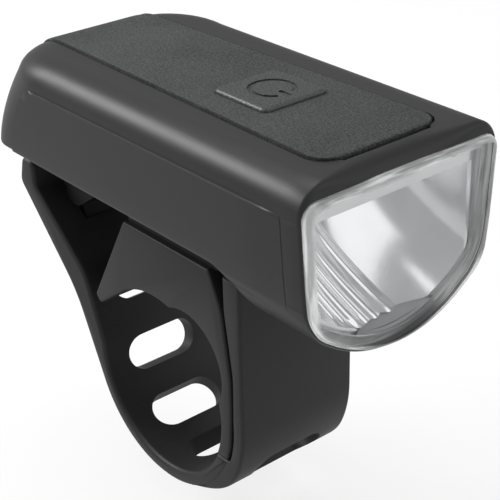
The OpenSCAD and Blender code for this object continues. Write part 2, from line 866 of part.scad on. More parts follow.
// Chips on the main board, each as centre, length, width and height
chips = [
    [-5, -1, 6, 6, 1.2],
    [4.5, 5.5, 5, 5, 1],
    [4.5, -5, 5.6, 5.6, 2],
    [-21, 0.5, 3.2, 5, 1]
];

module board_chips() {
    part_l = 1;
    part_w = 2;
    row_x = -11;
    row_y = 6;
    color([0.13, 0.13, 0.14]) {
        for (c = chips)
            translate([c[0] - c[2] / 2, c[1] - c[3] / 2, board_top]) cube([c[2], c[3], c[4]]);
        for (k = [0:3])
            translate([row_x + 2 * part_l * k, row_y, board_top]) cube([part_l, part_w, part_l]);
    }
}

module switch_body() {
    half = switch_side / 2;
    color([0.16, 0.16, 0.17]) difference() {
        block([button_x - half, -half, board_top], [button_x + half, half, board_top + switch_h]);
        post([button_x, 0], plunger_d / 2 + plunger_gap, board_top + plunger_bed - plunger_out / 2,
            board_top + switch_h + past);
    }
}

module switch_plunger() {
    color([0.85, 0.85, 0.82]) post([button_x, 0], plunger_d / 2, plunger_low, plunger_top);
}

module port_shell() {
    middle = (port_mouth + port_back) / 2;
    color([0.75, 0.76, 0.78]) difference() {
        translate([middle, 0, port_z]) rotate([0, 90, 0])
            slot(port_w, port_h, port_l);
        translate([middle - (past + port_sheet) / 2, 0, port_z]) rotate([0, 90, 0])
            slot(port_w - 2 * port_sheet, port_h - 2 * port_sheet, port_l + past - port_sheet);
    }
}

module port_tongue() {
    tongue_in = 0.8;
    half = port_w * 0.37;
    tongue_h = 0.7;
    color([0.12, 0.12, 0.12]) block([port_mouth + tongue_in, -half, port_z - tongue_h / 2],
        [port_back - port_sheet, half, port_z + tongue_h / 2]);
}

// Flat cell with a folded seal on its front end
seal_l = 1.2;
seal_t = 1.4;
seal_drop = 2.6;
seal_in = 2;
pouch_r = 1.4;
seal_z = cell_low + cell_t - seal_drop;

module battery_cell() {
    color([0.62, 0.66, 0.7]) union() {
        along(rounded(rectangle(-cell_half, cell_half, cell_low, cell_low + cell_t, pouch_r)), cell_back,
            cell_front - seal_l);
        block([cell_front - seal_l, -cell_half + seal_in, seal_z],
            [cell_front, cell_half - seal_in, seal_z + seal_t]);
    }
}

module battery_pad() {
    color([0.15, 0.15, 0.15]) block([cell_back + seal_in, -cell_half + seal_in, floor_z],
        [cell_front - seal_in, cell_half - seal_in, cell_low]);
}

// Two wires that run forward from the seal and up to the main board
module battery_leads() {
    z = seal_z + seal_t / 2;
    turn_in = 1.4;
    spread = 3;
    turn_x = board_front - turn_in;
    color([0.15, 0.15, 0.16]) for (y = [-spread, spread]) translate([0, y, 0]) {
        translate([cell_front, 0, z]) rotate([0, 90, 0])
            cylinder(r = wire_r, h = turn_x - cell_front, $fn = round_fn);
        translate([turn_x, 0, z]) sphere(r = wire_r, $fn = round_fn);
        post([turn_x, 0], wire_r, z, board_low);
    }
}

// Band that follows the housing's side profile, from the recess floor to the cover's top
module cover_band(outer, inner) {
    difference() {
        from_side(rounded(inset(side_corners, -outer)), body_w);
        from_side(rounded(inset(side_corners, inner)), body_w + 2 * past);
    }
}

// Everything behind the flap's hinge line
module behind_hinge(gap) {
    start = shoulder + gap * turn_left(flap_dir);
    high = start + 2 * body_h * flap_dir;
    from_side([start, high, [rear_x - body_h, high[1]], [rear_x - body_h, chin_z], [start[0], chin_z]],
        body_w + 2 * past);
}

module button_outline(grow, z0, z1) {
    l = button_l / 2 + grow;
    w = button_w / 2 + grow;
    upright(rounded(rectangle(button_x - l, button_x + l, -w, w, button_r + grow)), z0, z1);
}

module top_cover() {
    color([0.32, 0.33, 0.33]) difference() {
        intersection() {
            cover_band(cover_proud, cover_floor);
            upright(rounded(cover_corners), shoulder[1], top_z + past);
        }
        behind_hinge(0);
        button_outline(button_gap, recess_z - past, top_z + past);
    }
}

module port_flap() {
    color([0.32, 0.33, 0.33]) intersection() {
        cover_band(cover_proud, cover_floor - flap_gap);
        upright(rounded(inset(cover_corners, cover_gap)), deck_z + flap_low, top_z + past);
        behind_hinge(flap_slit);
    }
}

module power_button() {
    color([0.32, 0.33, 0.33]) union() {
        button_outline(0, button_low, button_top);
        post([button_x, 0], stem_d / 2, plunger_top, button_top - past / 2);
    }
}

// Block under the housing, with lugs for the anchor pin in front and the hook behind
module mount_base() {
    face = anchor[0] - knuckle_r - lug_gap;
    lug_w = (base_w - knuckle_w) / 2 - lug_gap;
    pin_seat = 0.01;
    color([0.11, 0.11, 0.11]) difference() {
        union() {
            block([base_back, -base_w / 2, saddle_top], [face, base_w / 2, deck_z]);
            for (side = [-1, 1]) translate([0, side * (base_w - lug_w) / 2, 0])
                from_side(rounded([
                    [face - past, anchor[1] - knuckle_r, 0],
                    [anchor[0] + knuckle_r, anchor[1] - knuckle_r, knuckle_r],
                    [anchor[0] + knuckle_r, deck_z, 0],
                    [face - past, deck_z, 0]
                ]), lug_w);
            hook_arm();
            tongue();
        }
        cross_pin(anchor, pin_d / 2 + pin_seat, base_w + 2 * past);
        for (p = mount_spots)
            post(p, screw_r + screw_gap, saddle_top + past, deck_z + past);
        key(screw_gap);
    }
}

// Arm that carries the hook back from the mount base
module hook_arm() {
    arm_skin = 1.5;
    arm_drop = 13;
    arm_lean = 2.1;
    arm_knee = 8;
    arm_knee_drop = 8.5;
    arm_knee_r = 6;
    arm_foot_r = 2.4;
    arm_back_drop = 4;
    arm_back_r = 2;
    back_x = anchor[0] - hook_rear - arm_skin;
    front_face = anchor[0] - hook_reach;
    low = deck_z - arm_drop;
    from_side(rounded([
        [front_face + arm_knee, deck_z - arm_knee_drop, arm_knee_r],
        [front_face + arm_skin, low, arm_foot_r],
        [back_x + arm_lean, low, arm_foot_r],
        [back_x, deck_z - arm_back_drop, arm_back_r],
        [back_x, deck_z, 0],
        [base_back + past, deck_z, 0],
        [base_back + past, deck_z - base_h / 2, 0]
    ]), tongue_w + 2 * arm_skin);
}

// Tongue and lip of the hook, curved about the anchor so that the slot passes over them
module tongue() {
    root_drop = 12;
    root_z = deck_z - root_drop;
    rear = anchor[0] - hook_rear - lip_out - past;
    difference() {
        union() {
            intersection() {
                cross_pin(anchor, hook_rear, tongue_w);
                block([rear, -tongue_w / 2, hook_low], [0, tongue_w / 2, root_z]);
            }
            intersection() {
                cross_pin(anchor, hook_rear + lip_out, tongue_w);
                block([rear, -tongue_w / 2, hook_low], [0, tongue_w / 2, hook_low + lip_h]);
            }
        }
        cross_pin(anchor, hook_reach, tongue_w + 2 * past);
    }
}

// Key on top of the saddle that sits in the mount base
module key(gap) {
    key_l = 6;
    key_x = 4;
    key_half = 4;
    key_h = 2;
    block([key_x - key_l / 2 - gap, -key_half - gap, saddle_top - past],
        [key_x + key_l / 2 + gap, key_half + gap, saddle_top + key_h + gap]);
}

module anchor_pin() {
    color([0.6, 0.6, 0.62]) cross_pin(anchor, pin_d / 2, base_w - lug_gap);
}

// Saddle: rear flank, clamp arc, front relief and the tail inside the strap
module saddle() {
    inner = clamp_r - 2 * past;
    heel_angle = 125;
    edge = 0.6;
    tip_out = 1.2;
    tip_h = 1.5;
    tail_bulge = 0.14;
    tail_run = 6;
    tail_curve = 12;
    heel = polar(clamp_r - bend_out, heel_angle);
    tip = [-clamp_r - tip_out, clamp_r - bend_down];
    back = rounded([
        [0, inner, 0],
        [past, saddle_top, 0],
        [base_back - past / 2, saddle_top, edge],
        [tip[0], tip[1], edge],
        [tip[0] + tip_out, tip[1] - tip_h, edge],
        [heel[0], heel[1], 0]
    ]);
    front = rounded([
        [0, inner, 0],
        [inner, 0, 0],
        [inner * cos(tail_end), tail_low, 0],
        [tail_r * cos(tail_end), tail_low, 0],
        [tail_r * cos(tail_end / 2) + tail_bulge, tail_low / 2, tail_curve],
        [tail_bend[0], tail_bend[1] - tail_run, tail_curve],
        [tail_bend[0], tail_bend[1], bend_r],
        [tail_shoulder[0], tail_shoulder[1], tail_shoulder_r],
        [saddle_nose, saddle_top, edge],
        [0, saddle_top, 0]
    ]);
    color([0.25, 0.25, 0.25]) union() {
        difference() {
            union() {
                from_side(back, band_w);
                from_side(front, band_w);
            }
            cross_pin([0, 0], clamp_r, band_w + 2 * past);
            cross_pin(polar(clamp_r - relief_in, 45), relief_r, band_w + 2 * past);
        }
        key(0);
    }
}

// Angles between which the strap thickens from the band to its root
blend_from = -68;
blend_to = -22;
function root_radius(a) =
    let (u = min(1, max(0, (a - blend_from) / (blend_to - blend_from))))
    band_r + (root_out - band_r) * u * u * (3 - 2 * u);

// Front layer of the strap, outside the saddle's tail and up to the knuckle
module strap_root() {
    shoulder_at = [tail_shoulder[0] + seam, tail_shoulder[1]];
    bend_at = [tail_bend[0] + seam, tail_bend[1]];
    bury = 0.8;
    bury_r = band_r - bury;
    steps = 16;
    inner_start = 4;
    inner_end = asin(band_top / root_in);
    bury_start = asin(band_top / bury_r);
    outline = concat(
        [for (k = [0:steps]) let (a = blend_from * (1 - k / steps)) polar(root_radius(a), a)],
        [[root_out, root_top], [shoulder_at[0], root_top]],
        corner([[shoulder_at[0], root_top], [shoulder_at[0], shoulder_at[1], tail_shoulder_r], bend_at], 1),
        corner([shoulder_at, [bend_at[0], bend_at[1], bend_r], [root_in, 0]], 1),
        [for (k = [0:steps]) polar(root_in, inner_start + (inner_end - inner_start) * k / steps)],
        [for (k = [0:steps]) polar(bury_r, bury_start + (blend_from - bury_start) * k / steps)]
    );
    from_side(outline, band_w - 2 * root_inset);
}

// Rear leg of the strap, from the band up past the hook to the finger tab
module strap_leg() {
    inner = clamp_r - past;
    leave = 196;
    foot = 205;
    tab_r = 1.3;
    tab_h = 4.8;
    flare = 1.2;
    flare_r = 2.2;
    calf_out = 5.3;
    calf_drop = 8.8;
    calf_r = 25;
    shin_out = 4.4;
    shin_drop = 4.2;
    shin_r = 9;
    ankle_r = 3;
    from_side(rounded([
        [tab_x, tab_z, tab_r],
        [tab_x - tab_t, tab_z, tab_r],
        [tab_x - tab_t - flare, tab_z - tab_h, flare_r],
        [-band_r - calf_out, clamp_r - calf_drop, calf_r],
        [band_r * cos(foot), band_r * sin(foot), 0],
        [inner * cos(foot), inner * sin(foot), 0],
        [inner * cos(leave), inner * sin(leave), 0],
        [-clamp_r - shin_out, clamp_r - shin_drop, shin_r],
        [tab_x + bend_out, tab_z - tab_h + bend_out, ankle_r]
    ]), band_w);
}

// Half-round band under the handlebar, from the rear leg to the end of the saddle's tail
module strap_band() {
    reach = 2 * band_r;
    start_angle = 204;
    start = polar(reach, start_angle);
    intersection() {
        cross_pin([0, 0], band_r, band_w);
        from_side([[0, 0], start, [start[0], -reach], [reach, -reach], [reach, band_top], [0, band_top]],
            band_w + 2 * past);
    }
}

module strap() {
    cut = 12;
    leg_tilt = 20;
    leg_out = 4.2;
    leg_drop = 7.2;
    color([0.22, 0.22, 0.22]) difference() {
        union() {
            strap_leg();
            strap_band();
            strap_root();
            cross_pin(anchor, knuckle_r, knuckle_w);
            block([anchor[0] - knuckle_r + lug_gap, -knuckle_w / 2, root_top - past],
                [anchor[0] + knuckle_r, knuckle_w / 2, anchor[1]]);
        }
        cross_pin([0, 0], clamp_r, band_w + 2 * past);
        cross_pin(anchor, pin_d / 2 + pin_gap, knuckle_w + 2 * past);
        for (k = [0:slot_count - 1])
            rotate([0, -(slot_first + slot_step * k), 0]) translate([band_r, 0, 0]) rotate([0, 90, 0])
                slot(slot_l, slot_w, cut);
        translate([-clamp_r - leg_out, 0, clamp_r - leg_drop]) rotate([0, 90 - leg_tilt, 0])
            slot(slot_l, slot_w, cut);
        hook_slot();
    }
}

// Slot over the hook, curved about the anchor like the hook itself
module hook_slot() {
    w = tongue_w + 2 * hook_gap;
    below = 4;
    top_drop = 9;
    rear = anchor[0] - hook_rear - lip_out - hook_gap - past;
    difference() {
        intersection() {
            cross_pin(anchor, hook_rear + lip_out + hook_gap, w);
            block([rear, -w / 2, hook_low - below], [0, w / 2, deck_z - top_drop]);
        }
        cross_pin(anchor, hook_reach - hook_gap, w + 2 * past);
    }
}

housing();
base_cover();
base_screws();
lens();
lens_gasket();
reflector();
led_emitter();
led_board();
heat_sink();
led_leads();
main_board();
board_chips();
board_screws();
switch_body();
switch_plunger();
port_shell();
port_tongue();
battery_cell();
battery_pad();
battery_leads();
top_cover();
power_button();
port_flap();
mount_base();
mount_screws();
anchor_pin();
saddle();
strap();
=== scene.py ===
# %% [markdown]
# # A strap-mounted bicycle headlight
# The solid model comes in first, as a fixed frame: every piece made here goes where its solid already is.

# %% Frame and units
from math import asin, atan2, cos, degrees, hypot, pi, radians, sin, sqrt, tan

import bmesh
import bpy
import numpy as np
from mathutils import Matrix, Vector


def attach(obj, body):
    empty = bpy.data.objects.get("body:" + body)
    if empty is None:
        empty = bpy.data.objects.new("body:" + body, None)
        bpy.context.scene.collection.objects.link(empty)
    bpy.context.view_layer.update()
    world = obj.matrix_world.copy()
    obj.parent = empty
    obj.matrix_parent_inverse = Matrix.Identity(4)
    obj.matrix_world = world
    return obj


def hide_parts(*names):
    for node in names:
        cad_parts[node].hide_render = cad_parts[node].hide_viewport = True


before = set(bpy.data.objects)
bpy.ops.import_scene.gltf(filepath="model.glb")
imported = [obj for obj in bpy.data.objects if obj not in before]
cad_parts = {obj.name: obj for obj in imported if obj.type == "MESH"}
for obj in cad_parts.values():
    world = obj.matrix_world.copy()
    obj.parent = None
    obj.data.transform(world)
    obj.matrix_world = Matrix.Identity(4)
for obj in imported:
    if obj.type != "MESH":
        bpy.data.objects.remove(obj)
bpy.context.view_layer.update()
MM = 0.001
print("solids loaded:", len(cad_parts))

# %% [markdown]
# ## Camera
# The photograph looks down on the lamp from its front right. A camera fitted to the straight edges of the
# lamp gives its place and turn, so it is set by numbers and not by eye. The lens is long, which keeps the
# lamp's sides nearly parallel.

# %% Camera
CAMERA_AT = Vector((0.1559, -0.11984, 0.12357))
CAMERA_LENS, SENSOR_WIDTH, CLIP_START = 98.47, 36, 0.005
camera_turn, camera_height, camera_roll = radians(50.59), radians(27.75), radians(-1.38)
view_back = Vector((
    sin(camera_turn) * cos(camera_height),
    -cos(camera_turn) * cos(camera_height),
    sin(camera_height),
))
level_right = Vector((cos(camera_turn), sin(camera_turn), 0))
level_up = view_back.cross(level_right)
view_right = cos(camera_roll) * level_right + sin(camera_roll) * level_up
view_up = cos(camera_roll) * level_up - sin(camera_roll) * level_right
turn = Matrix((view_right, view_up, view_back)).transposed().to_4x4()
bpy.ops.object.camera_add(location=(0, 0, 0))
camera = bpy.context.object
camera.matrix_world = Matrix.Translation(CAMERA_AT) @ turn
camera.data.lens = CAMERA_LENS
camera.data.sensor_width = SENSOR_WIDTH
camera.data.clip_start = CLIP_START
bpy.context.scene.camera = camera
print("camera lens", camera.data.lens)

# %% [markdown]
# ## Helpers and shader values
# Two helpers leave edit mode and pick a piece. A finish is a node tree, and its sockets are wrapped so that
# they take part in plain arithmetic, which keeps each material readable.

# %% Helpers for a clean start
def leave_edit():
    if bpy.context.object and bpy.context.object.mode != "OBJECT":
        bpy.ops.object.mode_set(mode="OBJECT")
    bpy.ops.object.select_all(action="DESELECT")


def pick(piece):
    leave_edit()
    piece.select_set(True)
    bpy.context.view_layer.objects.active = piece


print("selection helpers ready")

# %% Shader values
class Value:
    """A socket that takes part in Python arithmetic: each operator adds a Math node."""

    def __init__(self, finish, socket):
        self.finish = finish
        self.socket = socket

    def math(self, operation, first, second=0.0):
        node = self.finish.node("ShaderNodeMath", {"operation": operation}, {0: first, 1: second})
        return node.value()

    def __add__(self, other):
        return self.math("ADD", self, other)

    def __sub__(self, other):
        return self.math("SUBTRACT", self, other)

    def __mul__(self, other):
        return self.math("MULTIPLY", self, other)

    def __pow__(self, other):
        return self.math("POWER", self, other)

    def __rsub__(self, other):
        return self.math("SUBTRACT", other, self)

    __radd__ = __add__
    __rmul__ = __mul__

    def larger(self, other):
        return self.math("MAXIMUM", self, other)

    def size(self):
        return self.math("ABSOLUTE", self)

    def ramp(self, low, high):
        """0 below low, 1 above high, and a smooth rise between."""
        node = self.finish.node(
            "ShaderNodeMapRange",
            {"interpolation_type": "SMOOTHSTEP", "clamp": True},
            {"Value": self, 1: low, 2: high},
        )
        return node.value()


class Made:
    """A node with its outputs at hand as values."""

    def __init__(self, finish, node):
        self.finish = finish
        self.node = node

    def value(self, name=0):
        return Value(self.finish, self.node.outputs[name])


class Finish:
    """One node tree, with a single way to add a node to it."""

    def __init__(self, owner):
        owner.use_nodes = True
        self.owner = owner
        self.tree = owner.node_tree
        self.tree.nodes.clear()

    def node(self, kind, settings=None, sockets=None):
        node = self.tree.nodes.new(kind)
        for name, setting in (settings or {}).items():
            setattr(node, name, setting)
        for name, given in (sockets or {}).items():
            if isinstance(given, Value):
                self.tree.links.new(given.socket, node.inputs[name])
            else:
                node.inputs[name].default_value = given
        return Made(self, node)

    def place(self):
        return self.node("ShaderNodeTexCoord").value("Object")

    def spot(self):
        """The place split into X, Y and Z."""
        return self.node("ShaderNodeSeparateXYZ", None, {0: self.place()})

    def noise(self, scale, detail=3.0, rough=0.5, place=None):
        sockets = {"Vector": place or self.place(), "Scale": scale, "Detail": detail, "Roughness": rough}
        return self.node("ShaderNodeTexNoise", None, sockets).value("Fac")

    def between(self, mask, low, high):
        """A colour between two, each given as a tuple or as a value."""
        ends = [end if isinstance(end, Value) else (*end, 1.0) for end in (low, high)]
        sockets = {"Factor": mask, 6: ends[0], 7: ends[1]}
        return self.node("ShaderNodeMix", {"data_type": "RGBA"}, sockets).value(2)

    def bump(self, height, distance, strength=1.0):
        sockets = {"Height": height, "Distance": distance, "Strength": strength}
        return self.node("ShaderNodeBump", None, sockets).value("Normal")

    def shade(self, sockets):
        shader = self.node("ShaderNodeBsdfPrincipled", None, sockets)
        self.node("ShaderNodeOutputMaterial", None, {"Surface": shader.value("BSDF")})
        return self.owner


def new_finish(name):
    return Finish(bpy.data.materials.new(name))


print("shader helpers ready")

# %% [markdown]
# ## Studio
# A white sweep would do, but a floor and a white world are simpler and give the same even background.
# Both are full white to the camera and through clear plastic, and weaker in gloss and on matt surfaces, so
# that dark plastic keeps its depth. Two soft boxes behind the lamp draw the highlights along its top edges,
# and a panel and a narrow strip in front light the bowl and the brow.

# %% World and lamps
def seen_directly(finish):
    """1 for what the camera sees past the lamp or through clear plastic, else 0."""
    path = finish.node("ShaderNodeLightPath")
    return path.value("Is Camera Ray").larger(path.value("Is Transmission Ray"))


def seen_in_gloss(finish):
    return finish.node("ShaderNodeLightPath").value("Is Glossy Ray")


WORLD_LIGHT, WORLD_GLOSS, FLOOR_GLOSS = 0.36, 0.40, 0.65
sky = Finish(bpy.data.worlds.new("studio_white"))
sky_seen = (1 - WORLD_LIGHT) * seen_directly(sky) + (WORLD_GLOSS - WORLD_LIGHT) * seen_in_gloss(sky)
sky_strength = WORLD_LIGHT + sky_seen
glow = sky.node("ShaderNodeBackground", None, {"Color": (1, 1, 1, 1), "Strength": sky_strength})
sky.node("ShaderNodeOutputWorld", None, {"Surface": glow.value("Background")})
bpy.context.scene.world = sky.owner


def soft_lamp(name, at, aim, size, power):
    bpy.ops.object.light_add(type="AREA", location=at)
    lamp = bpy.context.object
    lamp.name = name
    lamp.data.shape = "RECTANGLE"
    lamp.data.size = size[0]
    lamp.data.size_y = size[1]
    lamp.data.energy = power
    lamp.rotation_euler = (Vector(at) - Vector(aim)).to_track_quat("Z", "Y").to_euler()


BODY_MIDDLE, LENS_MIDDLE = (0, 0, 0.03), (0.03, 0, 0.04)
soft_lamp("overhead_softbox", at=(-0.10, 0.05, 0.55), aim=BODY_MIDDLE, size=(0.45, 0.45), power=1.7)
soft_lamp("edge_softbox", at=(-0.50, -0.36, 0.42), aim=BODY_MIDDLE, size=(0.42, 0.26), power=4.2)
soft_lamp("front_panel", at=(0.43, 0.22, 0.25), aim=LENS_MIDDLE, size=(0.52, 0.36), power=0.46)
soft_lamp("brow_strip", at=(0.31, 0.04, 0.46), aim=LENS_MIDDLE, size=(0.05, 0.10), power=0.016)
bpy.context.scene.view_settings.view_transform = "Standard"

# %% Floor
FLOOR_Z, FLOOR_SIZE, PAPER_GLOW = -0.0246, 6, 0.8
leave_edit()
bpy.ops.mesh.primitive_plane_add(size=FLOOR_SIZE, location=(0, 0, FLOOR_Z))
floor = bpy.context.object
floor.name = "floor"
bpy.ops.object.mode_set(mode="EDIT")
bpy.ops.mesh.subdivide(number_cuts=3)
bpy.ops.object.mode_set(mode="OBJECT")
paper = new_finish("floor_paper")
paper_diffuse = paper.node("ShaderNodeBsdfDiffuse", None, {"Color": (0.9, 0.9, 0.9, 1)})
paper_glow = paper.node("ShaderNodeEmission", None, {"Color": (1, 1, 1, 1), "Strength": 1.0})
paper_dim = paper.node("ShaderNodeEmission", None, {"Color": (1, 1, 1, 1), "Strength": FLOOR_GLOSS})


def blend_shaders(finish, share, first, second):
    return finish.node("ShaderNodeMixShader", None, {0: share, 1: first, 2: second}).value("Shader")


paper_share = PAPER_GLOW * seen_directly(paper)
paper_seen = blend_shaders(paper, paper_share, paper_diffuse.value(), paper_glow.value())
paper_all = blend_shaders(paper, seen_in_gloss(paper), paper_seen, paper_dim.value())
paper.node("ShaderNodeOutputMaterial", None, {"Surface": paper_all})
floor.data.materials.append(paper.owner)
print("floor at", FLOOR_Z)

# %% [markdown]
# ## Making a skin ring by ring
# Most pieces of the lamp are moulded, with no flat face that ends in a plain edge. Box modelling with
# bevels would leave pinched corners where three different radii meet. A loft is safer: a circle is
# extruded again and again, and after each extrusion the new ring is put on the surface.

# %% Loft
MERGE_AT = 2e-6


def loft(name, rings, caps=(True, True)):
    """Extrudes a circle through rings of points, given in millimetres."""
    count = len(rings[0])
    leave_edit()
    bpy.ops.mesh.primitive_circle_add(vertices=count, radius=0.01)
    piece = bpy.context.object
    piece.name = name
    piece.data.name = name
    bpy.ops.object.mode_set(mode="EDIT")
    mesh = bmesh.from_edit_mesh(piece.data)
    order = mesh.verts.layers.int.new("order")
    for k, point in enumerate(mesh.verts):
        point[order] = k
    for number, ring in enumerate(rings):
        if number:
            bpy.ops.mesh.extrude_edges_indiv()
        mesh = bmesh.from_edit_mesh(piece.data)
        mesh.verts.ensure_lookup_table()
        order = mesh.verts.layers.int["order"]
        for point in mesh.verts[-count:]:
            point.co = Vector([float(c) for c in ring[point[order]]]) * MM
    if caps[1]:
        bpy.ops.mesh.edge_face_add()
    if caps[0]:
        bpy.ops.mesh.select_all(action="DESELECT")
        mesh = bmesh.from_edit_mesh(piece.data)
        mesh.verts.ensure_lookup_table()
        for point in mesh.verts[:count]:
            point.select_set(True)
        mesh.select_flush(True)
        bpy.ops.mesh.edge_face_add()
    tidy_mesh(piece)
    return piece


def tidy_mesh(piece):
    """Merges doubles and turns the faces outwards."""
    pick(piece)
    bpy.ops.object.mode_set(mode="EDIT")
    bpy.ops.mesh.select_all(action="SELECT")
    bpy.ops.mesh.remove_doubles(threshold=MERGE_AT)
    bpy.ops.mesh.normals_make_consistent(inside=False)
    bpy.ops.object.mode_set(mode="OBJECT")
    if "order" in piece.data.attributes:
        piece.data.attributes.remove(piece.data.attributes["order"])


def combine(piece, tools, operation="DIFFERENCE"):
    """Cuts the tools from a piece, or adds them to it, and removes the tools."""
    for tool in tools:
        pick(piece)
        step = piece.modifiers.new("combine", "BOOLEAN")
        step.operation = operation
        step.solver = "MANIFOLD"
        step.object = tool
        bpy.ops.object.modifier_apply(modifier=step.name)
        bpy.data.objects.remove(tool, do_unlink=True)


def finish_piece(piece, body, replaced, material, angle=32):
    """Shades a piece, gives it its finish and hands it to its body."""
    pick(piece)
    bpy.ops.object.shade_smooth_by_angle(angle=radians(angle))
    piece.data.materials.clear()
    piece.data.materials.append(material)
    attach(piece, body)
    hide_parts(replaced)
    print(piece.name, "faces", len(piece.data.polygons))


print("modelling helpers ready")

# %% [markdown]
# ## The housing's form
# The shell is a box with a deep chin, and every edge has a radius of its own: tight under the belly, 5 mm
# along the top, and large at the rear corners. Each face is written as a distance, and two distances
# are joined with a round corner. The rings of the loft are then found on that surface by halving steps.

# %% Form of the housing
# Lengths in millimetres: faces, then the sides' knee and lean, then the rear, belly, corners and brow.
REAR, DECK, TOP, CHIN, FRONT = -37.7, 33.5, 51.6, 22.2, 42.5
CHIN_R, CHIN_SLOPE, JAW_R = 21.5, radians(35), 3.0
KNEE_Z, KNEE_HALF, KNEE_SOFT, SIDE_LEAN, SIDE_BEND = 35.5, 17.9, 2, 0.099, 0.04
REAR_LEAN, REAR_CURVE = 0.12, 0.0173
BELLY_X, BELLY_R, SLOPE_X, SLOPE_Z = 25.3, 2.2, 0.8666, 0.4985
CORNER_R, CORNER_GROWS, CORNER_RUN = 5.75, 5.25, 14.5
ROOF_R, ROOF_GROWS, ROOF_FROM, ROOF_RUN = 3, 2, -30, 14
HEM_R, HEM_GROWS, HEM_HIGH, HEM_LOW = 0.5, 1.5, 33, 25
FRONT_R, BROW_GROWS, BROW_Z, BROW_Y = 0.8, 2.9, (43.5, 48.5), (3.0, 17.5)
PANEL_Z, PANEL_FOOT, PANEL_RISE = 46.8, 8.4, 0.36


def round_join(a, b, r):
    inside = np.minimum(-r, np.maximum(a, b))
    return inside + np.hypot(np.maximum(a + r, 0), np.maximum(b + r, 0))


def ease(value, low, high):
    t = np.clip((value - low) / (high - low), 0, 1)
    return t * t * (3 - 2 * t)


def shield(y, z):
    """Distance to the cross-section's sides and chin."""
    up = z - KNEE_Z
    side = np.abs(y) - (KNEE_HALF + SIDE_LEAN * up - SIDE_BEND * np.sqrt(up * up + KNEE_SOFT**2))
    drop = CHIN + CHIN_R - z
    arc = np.hypot(y, drop) - CHIN_R
    slope = np.abs(y) * sin(CHIN_SLOPE) + drop * cos(CHIN_SLOPE) - CHIN_R
    chin = np.where(np.abs(y) <= drop * tan(CHIN_SLOPE), arc, slope)
    return round_join(side, chin, JAW_R)


def rear_line(z):
    up = np.maximum(z - DECK, 0)
    return REAR_LEAN * up + REAR_CURVE * up * up


def belly(x, z):
    """Distance to the flat underside and the slope that leads down to the chin."""
    slope = -SLOPE_X * (x - BELLY_X) - SLOPE_Z * (z - DECK)
    return -round_join(z - DECK, -slope, BELLY_R)


def housing_form(x, y, z):
    up = np.maximum(z - DECK, 0)
    lean = np.sqrt(1 + (REAR_LEAN + 2 * REAR_CURVE * up) ** 2)
    rear = (REAR + rear_line(z) - x) / lean
    corner_r = CORNER_R + CORNER_GROWS * np.clip(up / CORNER_RUN, 0, 1)
    roof_r = ROOF_R + ROOF_GROWS * np.clip((x - ROOF_FROM) / ROOF_RUN, 0, 1)
    hem_r = HEM_R + HEM_GROWS * ease(-z, -HEM_HIGH, -HEM_LOW)
    walls = round_join(rear, shield(y, z), corner_r)
    shell = round_join(walls, z - TOP, roof_r)
    return round_join(shell, belly(x, z), hem_r)


def with_front(x, y, z):
    """The form with its front edge, which is round along the brow and tight at the sides."""
    brow = ease(z, *BROW_Z) * (1 - ease(np.abs(y), *BROW_Y))
    return round_join(housing_form(x, y, z), x - FRONT, FRONT_R + BROW_GROWS * brow)


def halve(distance, low, high, steps=26):
    """The place between low and high where the distance changes sign."""
    low, high = np.array(low, float), np.array(high, float)
    for _ in range(steps):
        middle = (low + high) / 2
        inside = distance(middle) < 0
        low = np.where(inside, middle, low)
        high = np.where(inside, high, middle)
    return low


print("width at the crease", 2 * float(halve(lambda y: housing_form(0.0, y, PANEL_Z), 0, 30)))

# %% Rings around the housing
AXIS_Z, FAR_OUT, RING_STEP = 42.0, 40.0, 1.25
CREASE_HALF, DECK_HALF, FACE_MIDDLE = 18.55, 18.0, np.array([0, 0, 40.5])
PANEL_CORNER, PANEL_EDGE, PANEL_LEAN, PANEL_END, UPRIGHT_AT = 2.5, 0.06, 1.55, (30, 41), 56
SIDE_BAND = (17, 17.6)


def column_angles(step, marks):
    """Angles from straight down to straight up, with extra ones at marked places."""
    plain = [a for a in np.arange(-90, 90.01, step) if all(abs(a - m) > step * 0.7 for m in marks)]
    extra = [m + d for m in marks for d in (-0.22, 0, 0.22)]
    half = sorted(set(plain + extra) | {-90.0, 90.0})
    both = half + [180 - a for a in half[-2:0:-1]]
    return np.radians(both)


crease_angle = degrees(atan2(PANEL_Z - AXIS_Z, CREASE_HALF))
deck_angle = degrees(atan2(DECK - AXIS_Z, DECK_HALF))
around = column_angles(RING_STEP, [crease_angle, deck_angle])


def ring_x(reach, z):
    """Rings lean with the rear face, most of all at the side panel's rear edge, and stand up further on."""
    lean = np.interp(reach, [0, PANEL_FOOT, UPRIGHT_AT], [1.0, PANEL_LEAN, 0.0])
    return REAR + reach + lean * rear_line(z)


def panel_step(x, z, reach):
    """How far the side panel stands out, with a rounded upper rear corner."""
    high = z - PANEL_Z
    back = PANEL_FOOT - reach
    out = round_join(np.full_like(z, back), high, PANEL_CORNER)
    return PANEL_RISE * ease(-out, -PANEL_EDGE, PANEL_EDGE) * (1 - ease(x, *PANEL_END))


def skin_ring(reach, depth):
    sides, ups = np.cos(around), np.sin(around)

    def distance(t):
        z = AXIS_Z + t * ups
        return housing_form(ring_x(reach, z), t * sides, z) + depth

    t = halve(distance, np.zeros(len(around)), np.full(len(around), FAR_OUT))
    y, z = t * sides, AXIS_Z + t * ups
    x = ring_x(reach, z)
    if depth == 0:
        on_side = ease(np.abs(y), *SIDE_BAND)
        y = y + np.sign(y) * on_side * panel_step(x, z, reach)
    return np.stack([x, y, z], 1)


